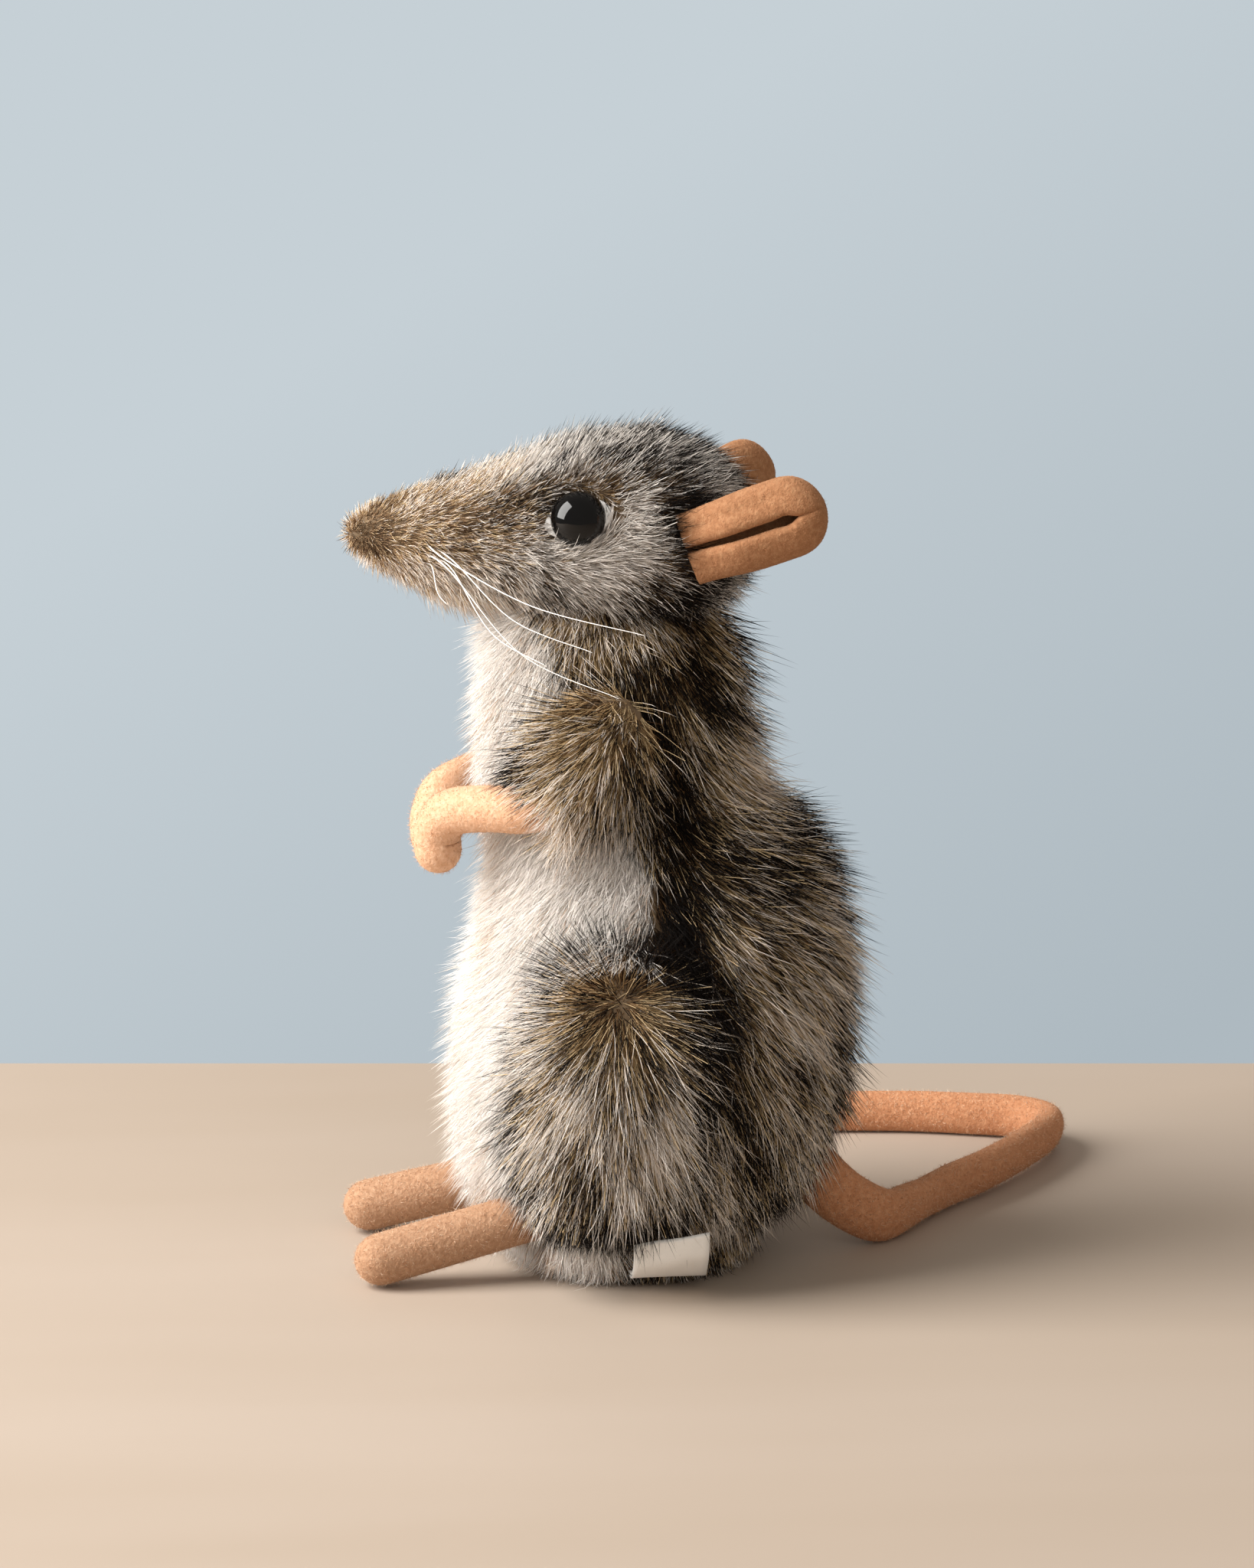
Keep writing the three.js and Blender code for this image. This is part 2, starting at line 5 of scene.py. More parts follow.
import bpy
import numpy as np
from mathutils import Matrix, Vector
from mathutils.bvhtree import BVHTree
from mathutils.kdtree import KDTree

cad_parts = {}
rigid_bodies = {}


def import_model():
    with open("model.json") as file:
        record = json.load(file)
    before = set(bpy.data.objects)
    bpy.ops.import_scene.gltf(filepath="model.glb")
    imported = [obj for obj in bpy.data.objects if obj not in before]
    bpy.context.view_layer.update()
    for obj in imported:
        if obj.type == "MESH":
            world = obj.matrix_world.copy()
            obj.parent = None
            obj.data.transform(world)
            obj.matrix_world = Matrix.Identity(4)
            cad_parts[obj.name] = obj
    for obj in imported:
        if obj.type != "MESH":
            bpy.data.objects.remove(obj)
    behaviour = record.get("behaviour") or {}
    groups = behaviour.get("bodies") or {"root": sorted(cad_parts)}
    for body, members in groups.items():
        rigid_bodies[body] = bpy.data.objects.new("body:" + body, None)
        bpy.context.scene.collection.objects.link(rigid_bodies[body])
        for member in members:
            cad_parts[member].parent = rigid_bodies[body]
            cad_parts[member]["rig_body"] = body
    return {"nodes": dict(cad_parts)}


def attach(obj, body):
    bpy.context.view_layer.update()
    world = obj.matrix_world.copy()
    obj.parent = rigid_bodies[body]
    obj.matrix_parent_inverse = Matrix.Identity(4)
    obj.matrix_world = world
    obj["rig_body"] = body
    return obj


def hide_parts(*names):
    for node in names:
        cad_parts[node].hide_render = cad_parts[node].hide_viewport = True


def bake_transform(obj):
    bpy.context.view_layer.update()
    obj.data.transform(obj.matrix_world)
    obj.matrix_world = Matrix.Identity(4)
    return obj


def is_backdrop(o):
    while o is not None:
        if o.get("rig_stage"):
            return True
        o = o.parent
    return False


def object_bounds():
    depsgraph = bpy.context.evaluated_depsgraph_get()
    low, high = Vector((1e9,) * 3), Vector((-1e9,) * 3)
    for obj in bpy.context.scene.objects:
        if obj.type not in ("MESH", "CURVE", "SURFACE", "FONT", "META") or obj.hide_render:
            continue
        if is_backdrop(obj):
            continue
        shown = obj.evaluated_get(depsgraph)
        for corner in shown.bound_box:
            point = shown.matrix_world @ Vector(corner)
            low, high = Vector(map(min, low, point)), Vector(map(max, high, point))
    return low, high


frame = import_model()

MM = 0.001
CAD_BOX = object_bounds()
SCENE = bpy.context.scene

# Camera
VIEW_AZIMUTH = radians(85)
VIEW_ELEVATION = radians(12)
CAMERA_DISTANCE = 1.6
FRAME_HEIGHT = 0.32768       # metres seen from top to bottom at the origin
SENSOR = 36
AIM = (-0.00496, 0.0978)     # middle of the picture, right of and above the frame's origin

# Fabric
PILE_INSET = 3.2         # how far the cloth lies below the surface of the pressed pile
BELLY_INSET = 2.0
HEAD_INSET = 1.0
CLOTH = 1.0              # thickness of a skin's cloth
BODY_VOXEL = 4.0
HEAD_VOXEL = 2.6
SWELL = 1.5              # the most that the stuffing pushes a skin out in the simulation
SWELL_FRAMES = 20
SWELL_PRESSURE = 4
PILE_PER_PIECE = 12000   # strands in one mesh
STRANDS_PER_LOCK = 11
ROOT_DEPTH = 0.4         # how far below the skin a strand starts
FLOW_SCATTER = 0.13      # how much a single strand leaves the flow
LIFT_SCATTER = 0.11      # and its lift, in radians
STRAY_LIFT = 0.25        # how much further the stray strands of a layer stand up
TABLE_GAP = 0.3          # how high above the table the lowest strands stay
LIMB_GAP = 6.2           # how far from the middle of a limb the pile of the body ends
NECK_START = (0, -0.009, 0.108)

EYE_AT = np.array([17.9, -16.5, 159])
EYE_FACING = (0.9, -0.24, 0.36)
EYE_RADIUS = 5.7
EYE_DOME = 5.2
BACKING_LONG = 14.6
BACKING_TALL = 9.0
BACKING_PROFILE = [(0.3, -1.9), (0.8, -1.8), (0.97, -1.5), (1, -0.8), (0.97, -0.1), (0.8, 0.1), (0.3, 0.2)]
BACKING_HOLLOW = 0.006

EAR_ROOT = (22.5, 8, 153.6)
EAR_LENGTH = 26.8        # from the pivot, which the fur hides, to the tip
EAR_TALL = 8.4
EAR_DEPTH = 5.4
EAR_FELT = 2.6
EAR_TURN = {"left": (12, 20), "right": (41, 12)}     # outwards and upwards, in degrees

PAW_PATH = [
    (24, -17, 104), (22.5, -26.5, 100), (16.5, -35.5, 99), (10.5, -42, 97), (7, -44.5, 92.5),
    (6.3, -44.5, 88.5),
]
HIP = (18, -26, 13.5)
TOE = (21.5, -57.6, 5.8)
TAIL_PATH = [
    (0, 33, 18), (-0.5, 40, 11), (-3, 48.5, 6), (-12, 55, 5.3), (-28.5, 66, 5.2), (-40, 75.5, 5.4),
    (-56, 86, 5.6), (-70, 93, 5.4), (-80, 94, 5), (-87.5, 88.5, 4.8), (-91.5, 79, 4.6),
    (-95, 66.5, 4.5), (-96.8, 52, 4.4), (-98, 36, 4.3),
]
LABEL_PATH = [(27.9, 3.4), (33.5, 4.4), (37.8, 7.4), (39.8, 12.6)]
LABEL_ENDS = (-7, 8.5)
WHISKER_ROOT = (9.4, -46.5, 152.5)
WHISKER_SPREAD = (-0.2, 2, -1)     # in and down from whisker to whisker, and back at every second one
WHISKER_SPRING = (0.18, 0.08, -0.04)
WHISKER_DROOP = (0.65, 0.5, 0.72)
WHISKER_TIPS = [(44, -6.5, 140), (38, -16, 135.5), (40, -11, 126.5), (34, -24.5, 132), (17, -43, 141.5)]

Form = namedtuple("Form", "points faces")


# ---- arithmetic

def unit(vectors):
    size = np.linalg.norm(vectors, axis=-1, keepdims=True)
    return vectors / np.maximum(size, 1e-9)


def ripple(points, size, seed):
    """Smooth noise of about -1 to 1 at each point, with lumps of about this size."""
    rng = np.random.default_rng(seed)
    waves = unit(rng.normal(size=(9, 3))) * (pi / size) * rng.uniform(0.7, 1.4, (9, 1))
    phase = rng.uniform(0, 2 * pi, 9)
    return np.clip(np.cos(points @ waves.T + phase).sum(1) / 3.4, -1, 1)


def bump(points, at, spread):
    """1 at a place, falling smoothly to 0 over the spread along each axis."""
    away = (points - np.array(at)) / np.array(spread)
    return np.exp(-(away ** 2).sum(1))


def ramp(values, low, high):
    share = np.clip((values - low) / (high - low), 0, 1)
    return share * share * (3 - 2 * share)


def smooth_path(points, count):
    """Evenly spaced points along a smooth curve through these."""
    held = np.array(points, float)
    held = np.vstack([2 * held[0] - held[1], held, 2 * held[-1] - held[-2]])
    t = np.linspace(0, 1, 16, endpoint=False)[:, None]
    parts = []
    for a, b, c, d in zip(held, held[1:], held[2:], held[3:]):
        parts.append(0.5 * (2 * b + (c - a) * t + (2 * a - 5 * b + 4 * c - d) * t ** 2
                            + (3 * b - a - 3 * c + d) * t ** 3))
    dense = np.vstack([*parts, held[-2][None]])
    reach = np.concatenate([[0], np.cumsum(np.linalg.norm(np.diff(dense, axis=0), axis=1))])
    even = np.linspace(0, reach[-1], count)
    return np.stack([np.interp(even, reach, dense[:, axis]) for axis in range(3)], axis=1)


def mirrored(points):
    return np.asarray(points, float) * (-1, 1, 1)


def srgb(*levels):
    """Linear colour from three sRGB levels of 0 to 255."""
    shares = [level / 255 for level in levels]
    linear = [s / 12.92 if s <= 0.04045 else ((s + 0.055) / 1.055) ** 2.4 for s in shares]
    return (*linear, 1)


# ---- meshes

def build(name, points, faces, materials=(), picks=None):
    """Object from points in millimetres and arrays of faces; picks holds each array's material numbers."""
    mesh = bpy.data.meshes.new(name)
    sizes = np.concatenate([np.full(len(group), group.shape[1]) for group in faces])
    corners = np.concatenate([group.ravel() for group in faces])
    mesh.vertices.add(len(points))
    mesh.vertices.foreach_set("co", (np.asarray(points) * MM).astype(np.float32).ravel())
    mesh.loops.add(len(corners))
    mesh.loops.foreach_set("vertex_index", corners.astype(np.int32))
    mesh.polygons.add(len(sizes))
    mesh.polygons.foreach_set("loop_start", (np.cumsum(sizes) - sizes).astype(np.int32))
    for material in materials:
        mesh.materials.append(material)
    if picks is not None:
        mesh.polygons.foreach_set("material_index", np.concatenate(picks).astype(np.int32))
    mesh.update(calc_edges=True)
    mesh.shade_smooth()
    made = bpy.data.objects.new(name, mesh)
    SCENE.collection.objects.link(made)
    return made


def arrays(mesh):
    """A mesh's points in millimetres, and its faces: quads where all are quads, or else triangles."""
    points = np.zeros(len(mesh.vertices) * 3, np.float32)
    mesh.vertices.foreach_get("co", points)
    mesh.calc_loop_triangles()
    all_quads = all(polygon.loop_total == 4 for polygon in mesh.polygons)
    source, corners = (mesh.polygons, 4) if all_quads else (mesh.loop_triangles, 3)
    faces = np.zeros(len(source) * corners, np.int32)
    source.foreach_get("vertices", faces)
    return Form(points.reshape(-1, 3) / MM, faces.reshape(-1, corners))


def triangles_of(faces):
    return np.vstack([faces[:, [0, 1, 2]], faces[:, [0, 2, 3]]]) if faces.shape[1] == 4 else faces


def joined(forms):
    """One form of several."""
    starts = np.cumsum([0, *[len(form.points) for form in forms]])
    faces = [form.faces + start for form, start in zip(forms, starts)]
    return Form(np.vstack([form.points for form in forms]), np.vstack(faces))


def node_form(name):
    return arrays(frame["nodes"][name].data)


def taken(made):
    """The form that an object's modifiers give. The object is removed."""
    shown = made.evaluated_get(bpy.context.evaluated_depsgraph_get())
    mesh = bpy.data.meshes.new_from_object(shown)
    form = arrays(mesh)
    bpy.data.objects.remove(made)
    bpy.data.meshes.remove(mesh)
    return form


def changed(form, kind, **settings):
    """The form after one modifier."""
    made = build("form", form.points, [form.faces])
    modifier = made.modifiers.new("change", kind)
    for key, value in settings.items():
        setattr(modifier, key, value)
    return taken(made)


def largest_part(form):
    """The connected part with the most points."""
    label = np.arange(len(form.points))
    while True:
        lowest = label[form.faces].min(axis=1)
        before = label.copy()
        for corner in form.faces.T:
            np.minimum.at(label, corner, lowest)
        label = label[label]
        if (label == before).all():
            break
    names, counts = np.unique(label, return_counts=True)
    kept = label == names[counts.argmax()]
    return part_of(form, kept[form.faces].all(axis=1))


def part_of(form, chosen):
    """Only the chosen faces of a form, and the points that they use."""
    used, faces = np.unique(form.faces[chosen], return_inverse=True)
    return Form(form.points[used], faces.reshape(-1, form.faces.shape[1]))


def normals_of(form):
    """Smooth outward normal at each point."""
    a, b, c, d = (form.points[form.faces[:, corner]] for corner in (0, 1, 2, -1))
    normals = np.cross(c - a, d - b)
    total = np.zeros_like(form.points)
    for corner in form.faces.T:
        np.add.at(total, corner, normals)
    return unit(total)


def offset(form, distance):
    """The form with each point moved outwards; distance may differ from point to point."""
    return Form(form.points + normals_of(form) * np.reshape(distance, (-1, 1)), form.faces)


def puffed(form, most):
    """The form swollen as stuffed cloth by simulation, each point moving at most this far."""
    made = build("cloth", form.points, [form.faces])
    cloth = made.modifiers.new("cloth", "CLOTH")
    cloth.settings.use_pressure = True
    cloth.settings.uniform_pressure_force = SWELL_PRESSURE
    cloth.settings.effector_weights.gravity = 0
    cloth.point_cache.frame_start = 1
    cloth.point_cache.frame_end = SWELL_FRAMES
    for step in range(SWELL_FRAMES):
        SCENE.frame_set(step + 1)
    move = taken(made).points - form.points
    far = np.linalg.norm(move, axis=1, keepdims=True)
    SCENE.frame_set(1)
    return Form(form.points + move * np.minimum(1, most / np.maximum(far, 1e-6)), form.faces)


def stuffed_form(nodes, voxel, inset):
    """Rounded closed surface round several CAD solids: remeshed, swollen as cloth and subdivided."""
    form = joined([node_form(name) for name in nodes])
    form = largest_part(changed(form, "REMESH", mode="VOXEL", voxel_size=voxel * MM))
    form = changed(form, "SMOOTH", factor=0.5, iterations=4)
    form = offset(form, -inset(form.points, normals_of(form)))
    form = puffed(form, SWELL)
    form = changed(form, "SUBSURF", levels=1, render_levels=1)
    return changed(form, "SMOOTH", factor=0.5, iterations=2)


def tree_of(form):
    return BVHTree.FromPolygons(form.points.tolist(), form.faces.tolist())


def nearest_node(places, names):
    """For each place, the number of the CAD node that is nearest."""
    trees = [tree_of(node_form(name)) for name in names]
    away = [[tree.find_nearest(place)[3] for place in places.tolist()] for tree in trees]
    return np.argmin(away, axis=0)


def crossings(tree, place):
    """How many times a line from a place, straight out along +X, goes through a form."""
    count, start = 0, Vector(place)
    while True:
        hit = tree.ray_cast(start, (1, 0, 0))[0]
        if hit is None:
            return count
        count += 1
        start = hit + Vector((0.001, 0, 0))


def depth_in(form, places):
    """How deep each place lies inside a closed form; 0 outside it."""
    tree = tree_of(form)
    found = np.zeros(len(places))
    near = ((places > form.points.min(0)) & (places < form.points.max(0))).all(axis=1)
    for index in np.flatnonzero(near):
        place = places[index].tolist()
        if crossings(tree, place) % 2:
            found[index] = tree.find_nearest(place)[3]
    return found


def clear_of(places, path, radius):
    """True where a place is at least this far from a path."""
    line = smooth_path(path, 40)
    away = np.linalg.norm(places[:, None, :] - line[None], axis=2).min(axis=1)
    return away > radius


def rings(grid, first, last):
    """Form with a pole, rings of points and a second pole."""
    count, around = grid.shape[:2]
    points = np.vstack([grid.reshape(-1, 3), first, last])
    start = np.arange(around)
    after = (start + 1) % around
    quads = [
        np.stack([row * around + start, row * around + after,
                  (row + 1) * around + after, (row + 1) * around + start], axis=1)
        for row in range(count - 1)
    ]
    end = (count - 1) * around
    poles = np.full(around, count * around)
    fans = np.vstack([
        np.stack([after, start, poles], axis=1),
        np.stack([end + start, end + after, poles + 1], axis=1),
    ])
    return points, [np.vstack(quads), fans]


def tube(path, section, steps, around=28):
    """Closed tube with round ends; section(s) gives its half-width and half-height, for s from 0 to 1."""
    first, last = section(0), section(1)
    points = np.array(path, float)
    start = points[0] - unit(points[1] - points[0]) * max(first)
    end = points[-1] + unit(points[-1] - points[-2]) * max(last)
    line = smooth_path(np.vstack([start, points, end]), 400)
    along = unit(np.gradient(line, axis=0))
    side = unit(np.cross((0, 0, 1), along[0]))
    sides = []
    for direction in along:
        side = unit(side - direction * (side @ direction))
        sides.append(side)
    sides = np.array(sides)
    ups = np.cross(along, sides)
    reach = np.linspace(0, 1, 400)
    length = np.linalg.norm(np.diff(line, axis=0), axis=1).sum()
    cap_first, cap_last = max(first) / length, max(last) / length
    angles = np.radians([14, 32, 50, 70])
    stops = np.concatenate([
        cap_first * (1 - np.cos(angles)),
        np.linspace(cap_first, 1 - cap_last, steps),
        1 - cap_last * (1 - np.cos(angles[::-1])),
    ])
    turn = np.linspace(0, 2 * pi, around, endpoint=False)
    grid = []
    for stop in stops:
        share = min(stop / cap_first, (1 - stop) / cap_last, 1)
        size = sqrt(1 - (1 - share) ** 2)
        half_width, half_height = section(np.clip((stop - cap_first) / (1 - cap_first - cap_last), 0, 1))
        centre, across, up = (
            np.array([np.interp(stop, reach, values[:, axis]) for axis in range(3)])
            for values in (line, sides, ups)
        )
        grid.append(centre + size * (
            np.outer(np.cos(turn) * half_width, across) + np.outer(np.sin(turn) * half_height, up)
        ))
    return rings(np.array(grid), line[0], line[-1])


# ---- materials

def material(name, color, roughness, **sockets):
    """Plain shader: the numbers and the colour are set on its own sockets."""
    made = bpy.data.materials.new(name)
    made.use_nodes = True
    shader = made.node_tree.nodes["Principled BSDF"]
    shader.inputs["Base Color"].default_value = color
    shader.inputs["Roughness"].default_value = roughness
    for key, value in sockets.items():
        shader.inputs[key.replace("_", " ")].default_value = value
    return made


def add_node(made, kind, linked, **values):
    """A shader node with these inputs linked and these values set."""
    node = made.node_tree.nodes.new(f"ShaderNode{kind}")
    for name, source in linked.items():
        made.node_tree.links.new(source, node.inputs[name])
    for name, value in values.items():
        node.inputs[name.replace("_", " ")].default_value = value
    return node


def add_noise(made, scale, detail, stretch=(1, 1, 1)):
    """Noise in the object's own space; scale is in lumps per metre."""
    place = add_node(made, "TexCoord", {})
    mapping = add_node(made, "Mapping", {"Vector": place.outputs["Object"]}, Scale=stretch)
    noise = add_node(made, "TexNoise", {"Vector": mapping.outputs["Vector"]}, Scale=scale, Detail=detail)
    return noise.outputs["Fac"]


def add_ramp(made, factor, stops):
    """Colours over a factor: stops are (position, colour)."""
    colors = add_node(made, "ValToRGB", {"Fac": factor})
    elements = colors.color_ramp.elements
    while len(elements) < len(stops):
        elements.new(0.5)
    for element, (position, color) in zip(elements, stops):
        element.position = position
        element.color = color
    return colors.outputs["Color"]


def add_bump(made, height, strength, distance):
    bumps = add_node(made, "Bump", {"Height": height}, Strength=strength, Distance=distance)
    tree = made.node_tree
    tree.links.new(bumps.outputs["Normal"], tree.nodes["Principled BSDF"].inputs["Normal"])


def color_by(made, factor, stops):
    tree = made.node_tree
    tree.links.new(add_ramp(made, factor, stops), tree.nodes["Principled BSDF"].inputs["Base Color"])


def felt_material(name, dark, middle, light):
    """Pressed wool: mottled colour, fine fibre bump and a soft sheen."""
    made = material(name, middle, 0.95, Sheen_Weight=0.5, Sheen_Roughness=0.5, Sheen_Tint=light)
    color_by(made, add_noise(made, 900, 7), [(0.3, dark), (0.5, middle), (0.7, light)])
    add_bump(made, add_noise(made, 1500, 5), 0.5, 0.0006)
    return made


def cloth_material(name, dark, light):
    """Knitted backing of the pile fabric."""
    made = material(name, dark, 0.95)
    color_by(made, add_noise(made, 260, 5, (1, 1, 0.4)), [(0.35, dark), (0.65, light)])
    add_bump(made, add_noise(made, 900, 2), 0.6, 0.0004)
    return made


def fibre_material():
    """Loose white stuffing."""
    made = material("polyester_fibre", srgb(240, 238, 232), 0.9)
    color_by(made, add_noise(made, 300, 8), [(0.3, srgb(214, 210, 202)), (0.65, srgb(246, 244, 240))])
    add_bump(made, add_noise(made, 700, 8), 0.8, 0.001)
    return made


SHADES = {
    "ivory": (253, 248, 243), "cream": (246, 232, 217), "blush": (224, 192, 166), "straw": (214, 188, 146),
    "sand": (178, 148, 108), "greige": (204, 190, 176), "silver": (236, 229, 222), "grey": (160, 146, 134),
    "brown": (120, 90, 60), "umber": (70, 51, 35), "black": (22, 18, 16), "tan": (186, 156, 122),
    "snout": (146, 116, 86), "snout_dark": (86, 64, 44),
}
SHADE_NAMES = list(SHADES)
FUR = [material(f"fibre_{name}", srgb(*levels), 0.6, Specular_IOR_Level=0.1 + 0.25 * min(levels) / 255)
       for name, levels in SHADES.items()]
# The paws take a paler copy of the felt, which is painted light; the ears take a darker one, partly a deeper
# dye and partly painted shade.
FELT = felt_material("tan_felt", srgb(178, 120, 82), srgb(190, 132, 94), srgb(202, 147, 109))
FOOT_FELT = felt_material("foot_felt", srgb(160, 120, 90), srgb(172, 132, 102), srgb(184, 146, 116))
PAW_FELT_LIT = felt_material("paw_felt_lit", srgb(206, 156, 120), srgb(216, 170, 136), srgb(228, 186, 154))
EAR_FELT_DEEP_SHADED = felt_material("ear_felt_deep_shaded", srgb(142, 96, 62), srgb(154, 107, 72), srgb(168, 123, 87))
# Nap tones paler than the felt: partly the fibres' own colour, partly a painted sheen.
NAP = [material(f"felt_nap_{index}", srgb(*levels), 0.8)
       for index, levels in enumerate([(196, 142, 102), (232, 190, 152), (246, 218, 190)])]
WHITE_FELT = felt_material("white_felt", srgb(226, 224, 222), srgb(240, 238, 236), srgb(250, 249, 248))
AGOUTI_CLOTH = cloth_material("agouti_backing", srgb(92, 74, 56), srgb(128, 108, 84))
CREAM_CLOTH = cloth_material("cream_backing", srgb(216, 196, 176), srgb(238, 224, 208))
FIBRE = fibre_material()


# ---- pile

def surface_points(form, density, rng):
    """Roots spread evenly over a form, so many to the square millimetre, and the surface's normal at each."""
    faces = triangles_of(form.faces)
    normals = normals_of(form)
    a, b, c = (form.points[faces[:, corner]] for corner in range(3))
    area = np.linalg.norm(np.cross(b - a, c - a), axis=1) / 2
    count = int(area.sum() * density)
    chosen = rng.choice(len(faces), count, p=area / area.sum())
    u, v = rng.random((2, count, 1))
    u, v = np.where(u + v > 1, 1 - u, u), np.where(u + v > 1, 1 - v, v)
    corners = faces[chosen]
    mix = [1 - u - v, u, v]
    places = sum(share * form.points[corners[:, k]] for k, share in enumerate(mix))
    facing = unit(sum(share * normals[corners[:, k]] for k, share in enumerate(mix)))
    return places, facing


def nearest_of(centres):
    """Function that gives, for each place, the number of the nearest centre."""
    tree = KDTree(len(centres))
    for index, centre in enumerate(centres.tolist()):
        tree.insert(centre, index)
    tree.balance()
    return lambda places: [tree.find(place)[1] for place in places.tolist()]


Layer = namedtuple("Layer", "density reach lift bend radius clump stray stations")
UNDERCOAT = Layer(3.2, 0.64, 0.95, 0.35, 0.12, 0.55, 0.03, (0, 0.5))
GUARD_HAIR = Layer(2.7, 1.12, 1.15, 0.8, 0.088, 0.3, 0.14, (0, 0.4, 0.7))
SPREADS = (0.1, 0.24)      # how much single hairs differ in darkness, in each layer
Look = namedtuple("Look", "name body slot flow length lift colors density thickness clump")


def strand_lines(places, facing, lock, look, layer, rng):
    """Points along each strand: it leaves the cloth at its lift and bends down along the flow, in locks."""
    count = len(places)
    flow = unit(look.flow(places)) + rng.normal(0, FLOW_SCATTER + layer.stray, (count, 3))
    flow = unit(flow - facing * (flow * facing).sum(1, keepdims=True))
    lift = look.lift(places) * layer.lift
    stray = rng.random(count) < layer.stray
    lift = np.clip(lift + rng.normal(0, LIFT_SCATTER, count) + STRAY_LIFT * stray, 0.05, 1.45)[:, None]
    start = flow * np.cos(lift) + facing * np.sin(lift)
    end = flow * np.cos(lift * layer.bend) + facing * np.sin(lift * layer.bend)
    side = np.cross(facing, flow) * rng.normal(0, 0.1, (count, 1))
    length = (look.length(places) * layer.reach * rng.uniform(0.75, 1.1, count))[:, None]
    pull = (look.clump * layer.clump * rng.uniform(0.5, 1.2, count))[lock]
    pull[stray] = 0
    length[stray] *= 1.15
    lines = []
    for s in (*layer.stations, 1):
        bow = start * (s - s * s / 2) + end * s * s / 2 + side * s * s
        share = (np.clip(pull, 0, 0.92) * s ** 1.2)[:, None]
        lines.append((places + length * bow) * (1 - share) + (places[lock] + length * bow[lock]) * share)
    return np.stack(lines, axis=1) - ROOT_DEPTH * facing[:, None, :]


def strand_mesh(name, lines, radius, picks, rng):
    """Three-sided tapered strands along lines; picks holds each stretch's material number."""
    count, rows = len(lines), lines.shape[1] - 1
    along = unit(np.gradient(lines, axis=1))[:, :rows]
    across = unit(np.cross(along, unit(rng.normal(size=(count, 1, 3)))))
    beside = np.cross(along, across)
    taper = np.linspace(1, 0.75, rows)[None, :, None] * radius[:, None, None]
    ring = [
        lines[:, :rows] + taper * (cos(angle) * across + sin(angle) * beside)
        for angle in (0, 2 * pi / 3, 4 * pi / 3)
    ]
    points = np.concatenate([np.stack(ring, axis=2).reshape(count, -1, 3), lines[:, -1:]], axis=1)
    points[:, :, 2] = np.maximum(points[:, :, 2], TABLE_GAP)
    size = points.shape[1]
    quads = [
        (3 * row + k, 3 * row + (k + 1) % 3, 3 * row + 3 + (k + 1) % 3, 3 * row + 3 + k)
        for row in range(rows - 1) for k in range(3)
    ]
    last = 3 * (rows - 1)
    triangles = [(last + k, last + (k + 1) % 3, size - 1) for k in range(3)] + [(2, 1, 0)]
    base = (np.arange(count) * size)[:, None, None]
    faces = [(np.array(group)[None] + base).reshape(-1, len(group[0])) for group in (quads, triangles)]
    quad_picks = np.repeat(picks[:, :rows - 1], 3, axis=1).ravel()
    end_picks = np.hstack([np.repeat(picks[:, rows - 1:rows], 3, axis=1), picks[:, :1]]).ravel()
    return build(name, points.reshape(-1, 3), faces, FUR, [quad_picks, end_picks])


def palettes_of(*layers):
    """Palettes from light to dark, of the undercoat and then of the guard hairs. A palette holds the numbers
    of a strand's shades from root to tip."""
    return [np.array([[SHADE_NAMES.index(name) for name in palette.split()] for palette in layer.split(", ")])
            for layer in layers]


AGOUTI = palettes_of(
    "cream cream, cream straw, straw cream, straw straw, sand straw, sand sand, brown sand, brown brown, "
    "umber brown, umber umber",
    "cream silver silver, straw cream silver, straw straw black, straw black black, sand black black, "
    "brown black black, black black black, black black black",
)
TAWNY = palettes_of(
    "cream straw, straw straw, straw sand, sand sand, brown sand, brown brown, umber brown, umber umber",
    "straw cream silver, straw straw cream, sand straw black, sand black black, sand black black, "
    "brown black black, black black black, black black black",
)
GREY = palettes_of(
    "silver silver, greige silver, greige greige, sand greige, sand sand, brown sand, brown brown, "
    "umber umber",
    "silver silver silver, greige silver silver, greige silver black, greige black black, "
    "sand black black, umber black black",
)
CREAMS = palettes_of(
    "ivory ivory, ivory ivory, ivory ivory, cream ivory, cream cream, blush cream, blush blush",
    "ivory ivory ivory, ivory ivory ivory, ivory ivory ivory, ivory cream cream, cream blush blush, "
    "blush tan brown",
)
SNOUTS = palettes_of(
    "straw cream, tan straw, tan tan, snout tan, snout snout, snout_dark snout, snout_dark snout_dark",
    "tan cream silver, tan straw cream, tan tan straw, snout snout tan, snout snout_dark umber, "
    "snout_dark umber black",
)


def by_darkness(palettes, places, dark, spread, seed, rng):
    """The palette of each strand, by a darkness of 0 to 1 with streaks, locks and single hairs in it."""
    wide = 0.22 * ripple(places * (1, 1, 0.35), 7, seed)
    fine = 0.16 * ripple(places * (1, 1, 0.4), 2.8, seed + 1)
    level = np.clip(dark + (wide + fine) + rng.normal(0, spread, len(places)), 0, 0.999)
    return palettes[(level * len(palettes)).astype(int)]


def coat(form, seed, looks, look_of, keep):
    """Undercoat and guard hairs over a form. look_of gives the number of the look at each place."""
    rng = np.random.default_rng(seed)
    densities = np.array([look.density for look in looks])
    for kind, layer in enumerate((UNDERCOAT, GUARD_HAIR)):
        places, facing = surface_points(form, layer.density * densities.max(), rng)
        chosen = look_of(places)
        kept = (rng.random(len(places)) < densities[chosen] / densities.max()) & keep(places)
        places, facing, chosen = places[kept], facing[kept], chosen[kept]
        for number, look in enumerate(looks):
            own = np.flatnonzero(chosen == number)
            own = own[np.argsort(places[own, 2], kind="stable")]
            comb(places[own], facing[own], look, kind, layer, rng)


